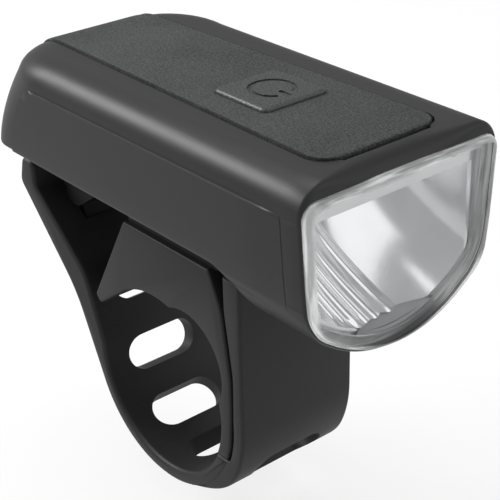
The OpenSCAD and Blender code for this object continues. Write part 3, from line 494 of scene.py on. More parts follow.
def face_ring(share, reach, depth):
    """A ring inside the rear face, drawn towards its middle."""
    rim = skin_ring(reach, depth)
    ring = FACE_MIDDLE + (rim - FACE_MIDDLE) * share
    ring[:, 0] = ring_x(reach, ring[:, 2])
    return ring


print("points in a ring:", len(around))

# %% [markdown]
# ## The housing
# The outer skin runs from the rear face to the brow, turns over the rim into the pocket for the lens, and
# comes back inside as the inner skin. So the shell has a real wall. The recess for the rubber cover, the
# underside's opening, the button's hole and the charging port are cut out of it afterwards.

# %% Pocket for the lens
LENS_TOP, LENS_RIM, POCKET_BACK = 49.35, 0.40, 38.5
LENS_CORNER, POCKET_GAP, PIVOT_Z = 2.4, 0.05, 40.0


def lens_form(y, z):
    return round_join(shield(y, z) + LENS_RIM, z - LENS_TOP, LENS_CORNER)


def pocket_ring(x, depth, angles, form=lens_form):
    """A ring at x, inside the form's outline by depth."""
    count = len(angles)
    sides, ups = np.cos(angles), np.sin(angles)

    def distance(t):
        return form(t * sides, PIVOT_Z + t * ups) + depth

    t = halve(distance, np.zeros(count), np.full(count, FAR_OUT))
    return np.stack([np.full(count, x), t * sides, PIVOT_Z + t * ups], 1)


print("pocket from", POCKET_BACK, "to", FRONT)

# %% Shell of the housing
BROW_START = 38.6
WALL = 1.8
near_rear = [0.03, 0.12, 0.3, 0.6, 1.0, 1.6, 2.3, 3.1, 4.0, 5.0, 6.0, 7.2]
at_panel = [PANEL_FOOT - PANEL_EDGE, PANEL_FOOT, PANEL_FOOT + PANEL_EDGE]
at_panel += [9.6, 10.8, 12.2, 14, 16, 19, 23, 28, 33, 38, 44, 50, 56]
at_belly = list(np.arange(58, 71.1, 0.45)) + [72, 73.5, 75]
outer_rings = [face_ring(s, near_rear[0], 0) for s in (0.1, 0.4, 0.75)]
outer_rings += [skin_ring(reach, 0) for reach in near_rear + at_panel + at_belly]
outer_rings.append(skin_ring(BROW_START - REAR, 0))
outside = outer_rings[-1]
pocket_angles = np.arctan2(outside[:, 2] - PIVOT_Z, outside[:, 1])
pocket_mouth = pocket_ring(FRONT, -POCKET_GAP, pocket_angles)
BROW_STEPS = 12
for share in (np.arange(1, BROW_STEPS + 1) / BROW_STEPS) ** 2:
    ring = outside + (pocket_mouth - outside) * share
    y, z = ring[:, 1], ring[:, 2]
    behind, ahead = np.full(len(y), BROW_START - 0.2), np.full(len(y), FRONT + 0.1)
    ring[:, 0] = halve(lambda x: with_front(x, y, z), behind, ahead)
    outer_rings.append(ring)
pocket_wall = pocket_ring(POCKET_BACK, -POCKET_GAP, pocket_angles)
inner_reaches = [74, 72] + list(np.arange(71, 58, -0.9))
inner_reaches += [56, 44, 33, 23, 16, 12, 9.6, 7.2, 5, 3.6, 2.6, 2.1, 1.85]
inner_rings = [skin_ring(reach, WALL) for reach in inner_reaches]
inner_rings += [face_ring(s, inner_reaches[-1], WALL) for s in (0.75, 0.4, 0.1)]
housing = loft("housing_shell", outer_rings + [pocket_wall] + inner_rings)
print("housing rings", len(outer_rings) + len(inner_rings) + 1)

# %% [markdown]
# ## Rubber sheet over the top
# The cover is one rubber sheet with a rounded edge. It lies on the roof and runs over the rear shoulder,
# where its tail is the flap of the charging port. One function makes the cover, the flap and the cutter
# for their recess, so they fit each other: each row is a cross-section set on the housing's form.

# %% Sheet on the housing
COVER_LEAD, COVER_FRONT_R = 38.8, 3.5
COVER_REAR, COVER_RUN, REAR_HALF, COVER_WIDENS = -38.7, 77.5, 9.1, 1.95
FLAT_SHARES, EDGE_ANGLES = (0, 0.3, 0.6, 0.85), (0, 22, 45, 68, 90)
LEAD_ANGLES, ROOF_PLACES = (90, 84, 76, 66, 54, 40, 22, 0), np.arange(33, -24, -3)
HINGE_X, HINGE_Z, HINGE_ANGLE, SHOULDER_R = -24.99, 42.6, 110, 12


def cover_half(x):
    half = REAR_HALF + COVER_WIDENS * (x - COVER_REAR) / COVER_RUN
    over = x - (COVER_LEAD - COVER_FRONT_R)
    if over > 0:
        half -= COVER_FRONT_R - sqrt(max(0, COVER_FRONT_R**2 - over**2))
    return half


def sheet_point(row, y, offset):
    kind, at = row
    if kind == "roof":
        return (at, y, TOP + offset)
    dx, dz = cos(radians(at)), sin(radians(at))
    t = halve(lambda t: housing_form(HINGE_X + t * dx, y, HINGE_Z + t * dz) - offset, 0, 30)
    return (HINGE_X + float(t) * dx, y, HINGE_Z + float(t) * dz)


def sheet(name, rows, grow, low, high, edge, end_fall=None):
    """A sheet from low to high about the housing's surface, wider than the cover by grow."""
    rings = []
    for number, row in enumerate(rows):
        kind, at = row
        along = min(at, COVER_LEAD) if kind == "roof" else HINGE_X + SHOULDER_R * cos(radians(at))
        half = cover_half(along) + grow
        drop = end_fall[number] if end_fall else 0
        turns = [sin(radians(a)) for a in EDGE_ANGLES]
        across = [share * half for share in FLAT_SHARES] + [half - edge + edge * s for s in turns]
        falls = [0] * len(FLAT_SHARES) + [edge - edge * sqrt(max(0, 1 - s * s)) for s in turns]
        top = [(y, high - drop - f) for y, f in zip(across, falls)]
        bottom = [(half, low), (0.6 * half, low), (0, low)]
        right = top + bottom
        left = [(-y, o) for y, o in right[-2:0:-1]]
        rings.append([sheet_point(row, y, o) for y, o in right + left])
    return loft(name, rings)


def roof_rows(start, grow):
    lead_turn = [start - COVER_FRONT_R * (1 - sin(radians(a))) for a in LEAD_ANGLES]
    return [("roof", x + grow) for x in lead_turn] + [("roof", x) for x in ROOF_PLACES]


def shoulder_rows(start, end, step=4):
    count = max(2, int((end - start) / step))
    return [("turn", start + (end - start) * k / count) for k in range(count + 1)]


FLAP_END = 206
RECESS_GAP = 0.62
recess_rows = roof_rows(COVER_LEAD, RECESS_GAP) + shoulder_rows(90, FLAP_END + 1)
recess = sheet("recess_cutter", recess_rows, grow=RECESS_GAP, low=-0.9, high=3.0, edge=0.01)
print("recess cutter rows", len(recess_rows))

# %% Cutters for the housing
def prism(name, outline, low, high):
    """A straight block over an outline of x and y points."""
    return loft(name, [[(x, y, z) for x, y in outline] for z in (low, high)])


def round_outline(corners, step=7):
    """Points of an outline whose corners are given as x, y and radius."""
    points = []
    count = len(corners)
    for k, (x, y, r) in enumerate(corners):
        here = Vector((x, y))
        if r <= 0:
            points.append((x, y))
            continue
        to_last = (Vector(corners[k - 1][:2]) - here).normalized()
        to_next = (Vector(corners[(k + 1) % count][:2]) - here).normalized()
        half = to_last.angle(to_next) / 2
        centre = here + (to_last + to_next).normalized() * (r / sin(half))
        start = here + to_last * (r / tan(half)) - centre
        end = here + to_next * (r / tan(half)) - centre
        sweep = start.angle_signed(end)
        steps = max(2, int(abs(degrees(sweep)) / step) + 1)
        for j in range(steps + 1):
            angle = atan2(start.y, start.x) - sweep * j / steps
            points.append((centre.x + r * cos(angle), centre.y + r * sin(angle)))
    return points


def circle_outline(x, y, r, count=40):
    return [(x + r * cos(2 * pi * k / count), y + r * sin(2 * pi * k / count)) for k in range(count)]


def box_corners(half_x, half_y, r, x=0.0):
    low, high = x - half_x, x + half_x
    return [(low, -half_y, r), (high, -half_y, r), (high, half_y, r), (low, half_y, r)]


BASE_REAR, BASE_FRONT, BASE_HALF, BASE_R = -35.9, 22.2, 16.25, 5.2
BUTTON_X, STEM_HOLE_R = 15.5, 2.8
base_corners = [
    (BASE_REAR, -BASE_HALF, BASE_R), (BASE_FRONT, -BASE_HALF, 0),
    (BASE_FRONT, BASE_HALF, 0), (BASE_REAR, BASE_HALF, BASE_R),
]
opening = prism("opening_cutter", round_outline(base_corners), 32, 36)
stem_hole = prism("stem_cutter", circle_outline(BUTTON_X, 0, STEM_HOLE_R), 48, 52)
PORT_Z, PORT_HALF_W, PORT_HALF_H = 43.42, 4.82, 1.93
port_outline = round_outline(box_corners(PORT_HALF_W, PORT_HALF_H, PORT_HALF_H - 0.01))
port_hole = loft("port_cutter", [[(x, y, PORT_Z + z) for y, z in port_outline] for x in (-40, -28)])
combine(housing, [recess, opening, stem_hole, port_hole])
print("housing faces after the cuts", len(housing.data.polygons))

# %% [markdown]
# ## Finishes of the moulded pieces
# The housing is satin black plastic with a fine spark-eroded grain, the cover is matt grey rubber with a
# speckle, and the strap is softer black rubber that picks up dust. A noise at two scales drives colour,
# roughness and a shallow bump, because a single value looks like paint.

# %% Plastic and rubber
CLOUD_SCALE = 40


def moulded(name, colour, spread, rough, grain, depth, sheen=0.0):
    """Colour varies by its spread, grain is the noise's scale, and depth is the bump's in metres."""
    finish = new_finish(name)
    fine = finish.noise(grain, 4.0, 0.6)
    patch = finish.noise(CLOUD_SCALE, 3.0)
    mask = fine.ramp(0.35, 0.65) * 0.7 + patch.ramp(0.3, 0.7) * 0.3
    low = tuple(c * (1 - spread) for c in colour)
    high = tuple(c * (1 + spread) for c in colour)
    return finish.shade({
        "Base Color": finish.between(mask, low, high),
        "Roughness": rough + (patch - 0.5) * 0.12 + (fine - 0.5) * 0.1,
        "Normal": finish.bump(fine, depth),
        "Specular IOR Level": 0.34,
        "Sheen Weight": sheen,
    })


housing_plastic = moulded("satin_black_plastic", (0.0205, 0.0205, 0.0207), 0.12, 0.40, 5200, 0.000012)
cover_rubber = moulded("speckled_cover_rubber", (0.040, 0.042, 0.042), 0.75, 0.75, 3400, 0.00006)
strap_rubber = moulded("strap_rubber", (0.016, 0.016, 0.0162), 0.15, 0.50, 2600, 0.00002, sheen=0.03)
base_plastic = moulded("matt_black_plastic", (0.006, 0.006, 0.006), 0.15, 0.55, 3600, 0.000015)
finish_piece(housing, "lamp", "housing", housing_plastic, angle=38)

# %% Cover, flap and button
BUTTON_L, BUTTON_W, BUTTON_R, BUTTON_GAP, CORNER_STEP = 11.5, 12.0, 0.9, 0.12, 11.5


def button_outline(grow, corner):
    corners = box_corners(BUTTON_L / 2 + grow, BUTTON_W / 2 + grow, corner, BUTTON_X)
    return round_outline(corners, CORNER_STEP)


# The falls lower each row's top: a round lead at the front, and thin edges along the hinge line.
cover_rows = roof_rows(COVER_LEAD, 0) + shoulder_rows(90, HINGE_ANGLE)
cover_falls = [0.4, 0.33, 0.12] + [0] * (len(cover_rows) - 4) + [0.42]
cover = sheet("cover_sheet", cover_rows, grow=0, low=-0.88, high=0.4, edge=0.25, end_fall=cover_falls)
combine(cover, [prism("button_cutter", button_outline(BUTTON_GAP, BUTTON_R + BUTTON_GAP), 49, 54)])
finish_piece(cover, "lamp", "top_cover", cover_rubber)
flap_rows = shoulder_rows(HINGE_ANGLE + 0.7, FLAP_END)
flap_falls = [0.4, 0.12] + [0.0] * (len(flap_rows) - 3) + [0.35]
flap = sheet("flap_sheet", flap_rows, grow=-0.15, low=-0.58, high=0.4, edge=0.25, end_fall=flap_falls)
finish_piece(flap, "flap", "port_flap", cover_rubber)

# %% Button
STEM_LOW, BUTTON_LOW, BUTTON_TOP, TOP_EDGE, STEM_R = 49.0, 51.35, 52.65, 0.55, 2.5
edge_angles = [radians(a) for a in (90, 70, 50, 30, 15, 0)]
top_edge = [(TOP_EDGE * (1 - sin(a)), BUTTON_TOP - TOP_EDGE * (1 - cos(a))) for a in edge_angles]
button_rings = []
flat = button_outline(0, BUTTON_R)
stem = [(BUTTON_X + STEM_R * cos(a), STEM_R * sin(a)) for a in (atan2(y, x - BUTTON_X) for x, y in flat)]
button_rings.append([(x, y, STEM_LOW) for x, y in stem])
button_rings.append([(x, y, BUTTON_LOW) for x, y in stem])
button_rings.append([(x, y, BUTTON_LOW) for x, y in flat])
for pull, z in top_edge:
    button_rings.append([(x, y, z) for x, y in button_outline(-pull, BUTTON_R - pull * 0.6)])
button = loft("button_cap", button_rings)

# %% Power sign
SIGN_X, SIGN_Y, SIGN_R, SIGN_W, SIGN_DEPTH, SIGN_GAP = 15.6, 0.3, 3.3, 0.75, 0.25, 26
BAR_IN, BAR_OUT = 1.6, 3.9


def open_ring(r, width, gap):
    angles = [radians(a) for a in np.arange(gap, 360 - gap + 0.1, 4)]
    outer = [(SIGN_X + (r + width / 2) * cos(a), SIGN_Y + (r + width / 2) * sin(a)) for a in angles]
    inner = [(SIGN_X + (r - width / 2) * cos(a), SIGN_Y + (r - width / 2) * sin(a)) for a in angles]
    return outer + inner[::-1]


bar = [(BAR_IN, -SIGN_W / 2), (BAR_OUT, -SIGN_W / 2), (BAR_OUT, SIGN_W / 2), (BAR_IN, SIGN_W / 2)]
bar_outline = [(SIGN_X + x, SIGN_Y + y) for x, y in bar]
sign_low, sign_high = BUTTON_TOP - SIGN_DEPTH, BUTTON_TOP + 1
sign_ring = prism("sign_ring_cutter", open_ring(SIGN_R, SIGN_W, SIGN_GAP), sign_low, sign_high)
sign_bar = prism("sign_bar_cutter", bar_outline, sign_low, sign_high)
combine(button, [sign_ring, sign_bar])

# %% Rubber of the button, glossier along its edges, with a painted highlight there
button_finish = new_finish("button_rubber")
speck = button_finish.noise(3400, 4.0, 0.6)
spot = button_finish.spot()
along = (spot.value("X") - BUTTON_X * MM).size() - BUTTON_L / 2 * MM
across = spot.value("Y").size() - BUTTON_W / 2 * MM
edge_gloss_and_painted_highlight = along.larger(across).ramp(-0.0004, -0.0001)
speckled = button_finish.between(speck.ramp(0.35, 0.65), (0.014, 0.015, 0.015), (0.066, 0.069, 0.069))
button_rubber = button_finish.shade({
    # The edges are painted lighter as a highlight, and are also glossier.
    "Base Color": button_finish.between(edge_gloss_and_painted_highlight * 0.4, speckled, (0.10, 0.10, 0.10)),
    "Roughness": 0.75 - 0.42 * edge_gloss_and_painted_highlight,
    "Normal": button_finish.bump(speck, 0.00006),
})
finish_piece(button, "button", "power_button", button_rubber)

# %% [markdown]
# ## Lens and reflector
# The front is a clear cap with a rounded edge, and behind it a metallised bowl. The cap's panes are nearly
# invisible, so its rim is drawn with painted highlights: a streaky, whiter and more opaque colour, with
# painted shade below the brow and along the chin. The bowl is part of a paraboloid about the light source
# and flares into a steep flank beside the rim. Six folds of unequal width rise from a sloping floor and lean
# outwards, so the columns of the bowl's grid lean with them, and each valley stays sharp.

# %% Lens
LENS_BACK, LENS_FRONT, LENS_T, LENS_EDGE, INNER_EDGE = 40.15, 43.6, 1.6, 1.6, 0.8
lens_angles = np.radians(np.arange(0, 360, 2))
edge_turns = [radians(a) for a in (90, 75, 60, 45, 30, 15, 0)]
outer_start = LENS_FRONT - LENS_EDGE
lens_rings = []
for a in edge_turns:
    lens_rings.append(pocket_ring(outer_start + LENS_EDGE * sin(a), LENS_EDGE * (1 - cos(a)), lens_angles))
lens_rings.append(pocket_ring(LENS_BACK, 0, lens_angles))
lens_rings.append(pocket_ring(LENS_BACK, LENS_T, lens_angles))
inner_start = LENS_FRONT - LENS_T - INNER_EDGE
for a in edge_turns[::-1]:
    inner_depth = LENS_T + INNER_EDGE * (1 - cos(a))
    lens_rings.append(pocket_ring(inner_start + INNER_EDGE * sin(a), inner_depth, lens_angles))
lens = loft("lens_cap", lens_rings)

# %% Clear plastic with painted highlights and painted shade on its rim, and masks in metres along the lens's depth and height
clear = new_finish("clear_lens")
haze = clear.noise(900, 3.0)
edge_on = clear.node("ShaderNodeLayerWeight", None, {"Blend": 0.5}).value("Facing") ** 5
spot = clear.spot()
forward, height = spot.value("X"), spot.value("Z")
outer_pane = forward.ramp(0.04335, 0.04358)
inner_pane = forward.ramp(0.04185, 0.04198) * (1 - forward.ramp(0.04202, 0.04215))
rim = 1 - outer_pane - inner_pane
skirt = 1 - forward.ramp(0.0418, 0.0420)
STREAK_DRAW, STREAK_SCALE = (1.0, 0.07, 0.07), 1700
drawn_out = clear.node("ShaderNodeVectorMath", {"operation": "MULTIPLY"}, {0: clear.place(), 1: STREAK_DRAW})
streak_noise = clear.noise(STREAK_SCALE, 2.0, place=drawn_out.value())
# Painted highlight lines on the rim: the streaks turn its colour whiter, and they are held down below the
# brow as painted shade.
under_brow = height.ramp(0.0468, 0.0485)
streak = (streak_noise - 0.10 * under_brow).ramp(0.38, 0.62)
# The side, the lower skirt and the back face are made more opaque so that the pale painted colour lights
# them, and chin_shade greys the lower outer rim as painted shade.
at_side = spot.value("Y").size().ramp(0.0150, 0.0168)
chin_shade = 1 - height.ramp(0.0238, 0.0258)
low_skirt = skirt * (1 - height.ramp(0.0262, 0.0290))
back_face = 1 - forward.ramp(0.0402, 0.0404)
rim_painted_glints = clear.between(streak, (0.55, 0.56, 0.56), (0.97, 0.98, 0.98))
pane_cover = 0.03 + edge_on * 0.4 + haze * 0.03
rim_cover = rim * (0.38 + 0.30 * streak + 0.45 * at_side)
skirt_cover = skirt * 0.24 + low_skirt * 0.3 + back_face * 0.6
clear_lens = clear.shade({
    "Base Color": clear.between(chin_shade * forward.ramp(0.0405, 0.0412), rim_painted_glints, (0.20, 0.20, 0.20)),
    "Roughness": 0.03 + haze * 0.04,
    "Alpha": pane_cover + rim_cover + skirt_cover,
})
finish_piece(lens, "lamp", "lens", clear_lens, angle=50)

# %% Form of the bowl
AXIS_BOWL_Z, BOWL_FLOOR, FLOOR_HALF, BOWL_HALF = 45.4, 26.5, 6.2, 15.0
RIM_X, BOWL_DEPTH, FLANGE_X = 41.2, 13.4, 39.3
BOWL_R = hypot(AXIS_BOWL_Z - BOWL_FLOOR, FLOOR_HALF)
FOCAL = BOWL_R**2 / (4 * BOWL_DEPTH)
BOWL_BACK = RIM_X - BOWL_DEPTH
FLANK_SLOPE, FLARE, LENS_CLEAR = 2.6, 8, 1.75
FLUTE_LEAN, FLUTE_START, FLUTE_SKEW, FLUTE_FADE = 0.5, 1.7, 1.3, 1.5
FLUTE_WIDTHS = [3.0, 2.4, 1.2, 2.3, 1.1, 1.2]
FLUTE_DEPTHS = [0.98, 0.78, 0.30, 0.74, 0.28, 0.30]
flute_ends = FLUTE_START - np.cumsum([0] + FLUTE_WIDTHS)


def bowl_x(y, z):
    """The paraboloid, which flares softly into a steep flank beside the rim."""
    deep = BOWL_BACK + (y * y + (AXIS_BOWL_Z - z) ** 2) / (4 * FOCAL)
    flank = RIM_X - FLANK_SLOPE * (BOWL_HALF - abs(y))
    share = min(1, max(0, 0.5 + (flank - deep) / FLARE))
    return min(RIM_X, deep + (flank - deep) * share + FLARE / 2 * share * (1 - share))


def flute(across, x):
    """Height of the flutes, which are folds that fade towards the rim."""
    for start, width, depth in zip(flute_ends, FLUTE_WIDTHS, FLUTE_DEPTHS):
        u = (start - across) / width
        if 0 < u < 1:
            return depth * sin(pi * u**FLUTE_SKEW) * max(0, min(1, (RIM_X - x) / FLUTE_FADE))
    return 0


def bowl_span(across):
    """Lowest and highest point of the line that a flute follows inside the bowl's outline."""
    heights = np.linspace(BOWL_FLOOR, AXIS_BOWL_Z, 4001)
    sides = across - FLUTE_LEAN * (heights - BOWL_FLOOR)
    inside = (np.abs(sides) <= BOWL_HALF) & (np.hypot(sides, heights - AXIS_BOWL_Z) <= BOWL_R)
    kept = heights[inside & (lens_form(sides, heights) <= -LENS_CLEAR)]
    return (kept[0], kept[-1]) if len(kept) else None


print("flutes end at", flute_ends[-1])

# %% Bowl
GRID_START, FOLD_STEPS, FOLD_ROOM, ROWS, BOWL_WALL = -13.2, 12, 0.15, 48, 0.0006
fold_steps = []
for start, width in zip(flute_ends[::-1][1:], FLUTE_WIDTHS[::-1]):
    fold_steps += [start - width * (1 - k / FOLD_STEPS) for k in range(FOLD_STEPS)]
fold_steps.append(FLUTE_START)
left_steps = np.linspace(GRID_START, fold_steps[0] - FOLD_ROOM, 40)
right_steps = np.linspace(fold_steps[-1] + FOLD_ROOM, AXIS_BOWL_Z, 130)
columns = [(q, bowl_span(q)) for q in np.concatenate([left_steps, fold_steps, right_steps])]
columns = [(q, span) for q, span in columns if span]


def bowl_spot(q, span, share):
    z = span[0] + (span[1] - span[0]) * share
    y = q - FLUTE_LEAN * (z - BOWL_FLOOR)
    x = bowl_x(y, z)
    return (x + flute(q, x), y, z)


leave_edit()
bpy.ops.mesh.primitive_grid_add(x_subdivisions=len(columns) - 1, y_subdivisions=ROWS, size=0.02)
bowl = bpy.context.object
bowl.name = "reflector_bowl"
for k, point in enumerate(bowl.data.vertices):
    row, col = divmod(k, len(columns))
    point.co = Vector(bowl_spot(*columns[col], row / ROWS)) * MM
tidy_mesh(bowl)
wall_step = bowl.modifiers.new("wall", "SOLIDIFY")
wall_step.thickness = BOWL_WALL
toward_front = np.mean([f.normal.x for f in bowl.data.polygons]) > 0
wall_step.offset = -1 if toward_front else 1
pick(bowl)
bpy.ops.object.modifier_apply(modifier=wall_step.name)
print("bowl columns", len(columns))

# %% Floor and flange of the reflector
LIP_X, LIP_SPREAD, FLOOR_T = 41.7, 1.25, 0.4
FACE_X, FLANGE_IN, FLANGE_GAP = 41.2, 1.68, 0.1
MOUTH_R, MOUTH_PINCH, PINCH_Y, MOUTH_SIDE, MOUTH_LENS = 20.4, 0.5, (6.0, 7.6), 0.25, 1.85


def lens_bottom(y):
    """Height of the lens's inner face below, which the floor's front edge follows."""
    return float(halve(lambda z: -lens_form(y, z) - LENS_CLEAR, 20, 30))


floor_rows = []
for y in np.linspace(-FLOOR_HALF, FLOOR_HALF, 49):
    front_y = LIP_SPREAD * y
    foot = Vector((bowl_x(y, BOWL_FLOOR) - 0.2, y, BOWL_FLOOR))
    lip = Vector((LIP_X, front_y, lens_bottom(front_y)))
    top_line = [foot.lerp(lip, t) for t in (0, 0.25, 0.5, 0.75, 1)]
    floor_rows.append(top_line + [p - Vector((0, 0, FLOOR_T)) for p in top_line[::-1]])
floor_plate = loft("reflector_floor", floor_rows)


def bowl_mouth(y, z):
    circle = np.hypot(y, z - AXIS_BOWL_Z) - MOUTH_R + MOUTH_PINCH * ease(np.abs(y), *PINCH_Y)
    inside_lens = np.maximum(lens_form(y, z) + MOUTH_LENS, z - AXIS_BOWL_Z)
    return np.maximum(np.maximum(circle, np.abs(y) - BOWL_HALF + MOUTH_SIDE), inside_lens)


flange_rings = [
    pocket_ring(FACE_X, FLANGE_IN, lens_angles),
    pocket_ring(FACE_X, 0, lens_angles, bowl_mouth),
    pocket_ring(POCKET_BACK, 0, lens_angles, bowl_mouth),
    pocket_ring(POCKET_BACK, FLANGE_GAP, lens_angles),
    pocket_ring(FLANGE_X, FLANGE_GAP, lens_angles),
    pocket_ring(FLANGE_X, FLANGE_IN, lens_angles),
    pocket_ring(FACE_X, FLANGE_IN, lens_angles),
]
flange = loft("reflector_flange", flange_rings, caps=(False, False))
pick(bowl)
flange.select_set(True)
floor_plate.select_set(True)
bpy.ops.object.join()

# %% Chrome, dull and dark on the floor
chrome = new_finish("bright_chrome")
smear = chrome.noise(160, 3.0)
spot = chrome.spot()
beside_floor = spot.value("Y").size().ramp(0.0076, 0.0080)
above_floor = spot.value("Z").ramp(0.02635, 0.0266).larger(beside_floor)
smeared = chrome.between(smear, (0.80, 0.81, 0.82), (0.90, 0.91, 0.92))
bright_chrome = chrome.shade({
    "Base Color": chrome.between(above_floor, (0.30, 0.31, 0.32), smeared),
    "Metallic": 1.0,
    "Roughness": 0.50 - 0.36 * above_floor + smear * 0.06,
    "Normal": chrome.bump(chrome.noise(700, 2.0), 0.000006),
})
finish_piece(bowl, "lamp", "reflector", bright_chrome, angle=50)

# %% [markdown]
# ## Saddle and strap
# Both are moulded rubber of one width, so each is drawn as an outline seen from the side and carried across
# the handlebar, with its rims rounded over. A bevel would clamp at the tight inner corners, so the rim is
# lofted: the outline is pulled in a little at each end. Slots are cut through the band afterwards, and the
# two lowest ones lean along it.

# %% Slab from a side outline
def pulled_in(outline, d):
    points = [Vector(p) for p in outline]
    count = len(points)
    area = sum(points[k - 1].x * points[k].y - points[k].x * points[k - 1].y for k in range(count))
    way = 1 if area > 0 else -1
    moved = []
    for k, here in enumerate(points):
        before = (here - points[k - 1]).normalized()
        after = (points[(k + 1) % count] - here).normalized()
        n1, n2 = Vector((-before.y, before.x)) * way, Vector((-after.y, after.x)) * way
        moved.append(here + (n1 + n2) * (d / max(0.5, 1 + n1.dot(n2))))
    return moved


def spaced(outline, least=0.12):
    kept = []
    for p in outline:
        if not kept or hypot(p[0] - kept[-1][0], p[1] - kept[-1][1]) > least:
            kept.append(p)
    if hypot(kept[0][0] - kept[-1][0], kept[0][1] - kept[-1][1]) < least:
        kept.pop()
    return kept


def slab(name, outline, half_width, edge):
    outline = spaced(outline)
    turns = [radians(a) for a in (0, 25, 50, 70, 90)]
    ends = [(half_width - edge * (1 - cos(a)), edge * (1 - sin(a))) for a in turns]
    rings = [[(p.x, -y, p.y) for p in pulled_in(outline, d)] for y, d in ends]
    rings += [[(p.x, y, p.y) for p in pulled_in(outline, d)] for y, d in ends[::-1]]
    return loft(name, rings)


def arc(r, start, end, step=3, centre=(0, 0)):
    count = max(2, int(abs(end - start) / step))
    angles = [radians(start + (end - start) * k / count) for k in range(count + 1)]
    return [(centre[0] + r * cos(a), centre[1] + r * sin(a)) for a in angles]


print("slab helpers ready")

# %% Saddle
CLAMP_R, BAND_R, BAND_HALF = 16.0, 18.6, 11.75
TAIL_LOW, SADDLE_END, SADDLE_STEPS = -6.29, 126, 90
RELIEF_R, RELIEF_AT = 8.9, 10.75


def saddle_inner(a):
    """The clamp face, or the relief in front where that reaches further out."""
    lean = radians(a - 45)
    root = RELIEF_R**2 - (RELIEF_AT * sin(lean)) ** 2
    far = RELIEF_AT * cos(lean) + sqrt(root) if root > 0 else 0
    return max(CLAMP_R, far)


tail_start = degrees(asin(TAIL_LOW / CLAMP_R))
saddle_inside = []
for k in range(SADDLE_STEPS + 1):
    a = tail_start + (SADDLE_END - tail_start) * k / SADDLE_STEPS
    saddle_inside.append((saddle_inner(a) * cos(radians(a)), saddle_inner(a) * sin(radians(a))))
saddle_corners = [
    (*saddle_inside[-1], 0), (-16.0, 8.1, 0.6), (-17.2, 9.6, 0.6), (-7.5, 26.7, 0.6), (14.3, 26.7, 0.6),
    (16.9, 21.0, 14), (18.6, 9.6, 20), (18.6, 3.6, 12), (18.26, -3.145, 12), (17.29, TAIL_LOW, 0),
    (*saddle_inside[0], 0),
]
saddle_outside = round_outline(saddle_corners, 4)[1:-1]
saddle = slab("saddle_pad", saddle_inside + saddle_outside, BAND_HALF, 0.4)
finish_piece(saddle, "lamp", "saddle", strap_rubber)

# %% Band and leg of the strap
BAND_TOP, LEG_FOOT = -6.59, 205
leg_corners = [
    (-20.4, 11.8, 9), (-34.2, 23.6, 3), (-34.4, 28.2, 1.3),
    (-37.8, 28.2, 1.3), (-39.0, 23.4, 2.2), (-23.9, 7.2, 25),
]
leg_start = (BAND_R * cos(radians(LEG_FOOT)), BAND_R * sin(radians(LEG_FOOT)))
leg_outline = round_outline([(-16.0, 0.0, 0)] + leg_corners + [(*leg_start, 0)], 4)[1:-1]
band_end = 360 + degrees(asin(BAND_TOP / BAND_R))
band_inner_end = 360 + degrees(asin(BAND_TOP / CLAMP_R))
band_outline = leg_outline + arc(BAND_R, LEG_FOOT, band_end) + arc(CLAMP_R, band_inner_end, 180)
strap = slab("strap_band", band_outline, BAND_HALF, 0.8)
print("band faces", len(strap.data.polygons))

# %% Root and knuckle of the strap
ROOT_IN, ROOT_OUT, ROOT_TOP, BLEND_FROM, BLEND_TO = 18.7, 21.2, 26.6, -68, -22
ROOT_BACK, BURIED, ROOT_STEPS = 17.2, 0.8, 24


def root_radius(a):
    u = min(1, max(0, (a - BLEND_FROM) / (BLEND_TO - BLEND_FROM)))
    return BAND_R + (ROOT_OUT - BAND_R) * u * u * (3 - 2 * u)


root_outer = []
for k in range(ROOT_STEPS + 1):
    a = BLEND_FROM * (1 - k / ROOT_STEPS)
    root_outer.append((root_radius(a) * cos(radians(a)), root_radius(a) * sin(radians(a))))
root_inner_end = degrees(asin(BAND_TOP / ROOT_IN))
bury_start = degrees(asin(BAND_TOP / (BAND_R - BURIED)))
bend_corners = [(ROOT_BACK, ROOT_TOP, 0), (ROOT_BACK, 21.0, 14), (18.9, 9.6, 20), (ROOT_IN, 0, 0)]
root_bend = round_outline(bend_corners, 4)[1:-1]
root_outline = root_outer + [(ROOT_OUT, ROOT_TOP), (ROOT_BACK, ROOT_TOP)] + root_bend
root_outline += arc(ROOT_IN, 4, root_inner_end) + arc(BAND_R - BURIED, bury_start, BLEND_FROM)
root = slab("strap_root", root_outline, BAND_HALF - 0.2, 0.6)
ANCHOR, KNUCKLE_R = (18.6, 29.6), 2.6
KNUCKLE_BACK, KNUCKLE_FOOT, KNUCKLE_HALF = 16.4, 25.6, 6.2
knuckle_outline = [(KNUCKLE_BACK, KNUCKLE_FOOT), (ROOT_OUT, KNUCKLE_FOOT)]
knuckle_outline += arc(KNUCKLE_R, 0, 180, 8, ANCHOR) + [(KNUCKLE_BACK, ANCHOR[1])]
knuckle = slab("strap_knuckle", knuckle_outline, KNUCKLE_HALF, 0.3)
combine(strap, [root, knuckle], "UNION")
print("strap faces before the slots", len(strap.data.polygons))

# %% Slots of the strap
# Each slot of the band has an angle round the handlebar and a lean along the band, in degrees.
BAND_SLOTS = ((196, 0), (237, 0), (279, 16), (327, 24))
SLOT_L, SLOT_W, SLOT_REACH, LEG_SLOT, LEG_SLOT_WAY = 14, 6.4, 6, (-20.0, 7.9), radians(32)
HOOK_OUT, HOOK_IN, HOOK_LOW, HOOK_HIGH, HOOK_HALF, PIN_R = 52.0, 47.6, 5.5, 24.5, 5.9, 1.3


def stadium(length, width):
    run = (length - width) / 2
    ends = [(run + width / 2 * sin(radians(a)), width / 2 * cos(radians(a))) for a in range(0, 181, 9)]
    return ends + [(-y, -w) for y, w in ends]


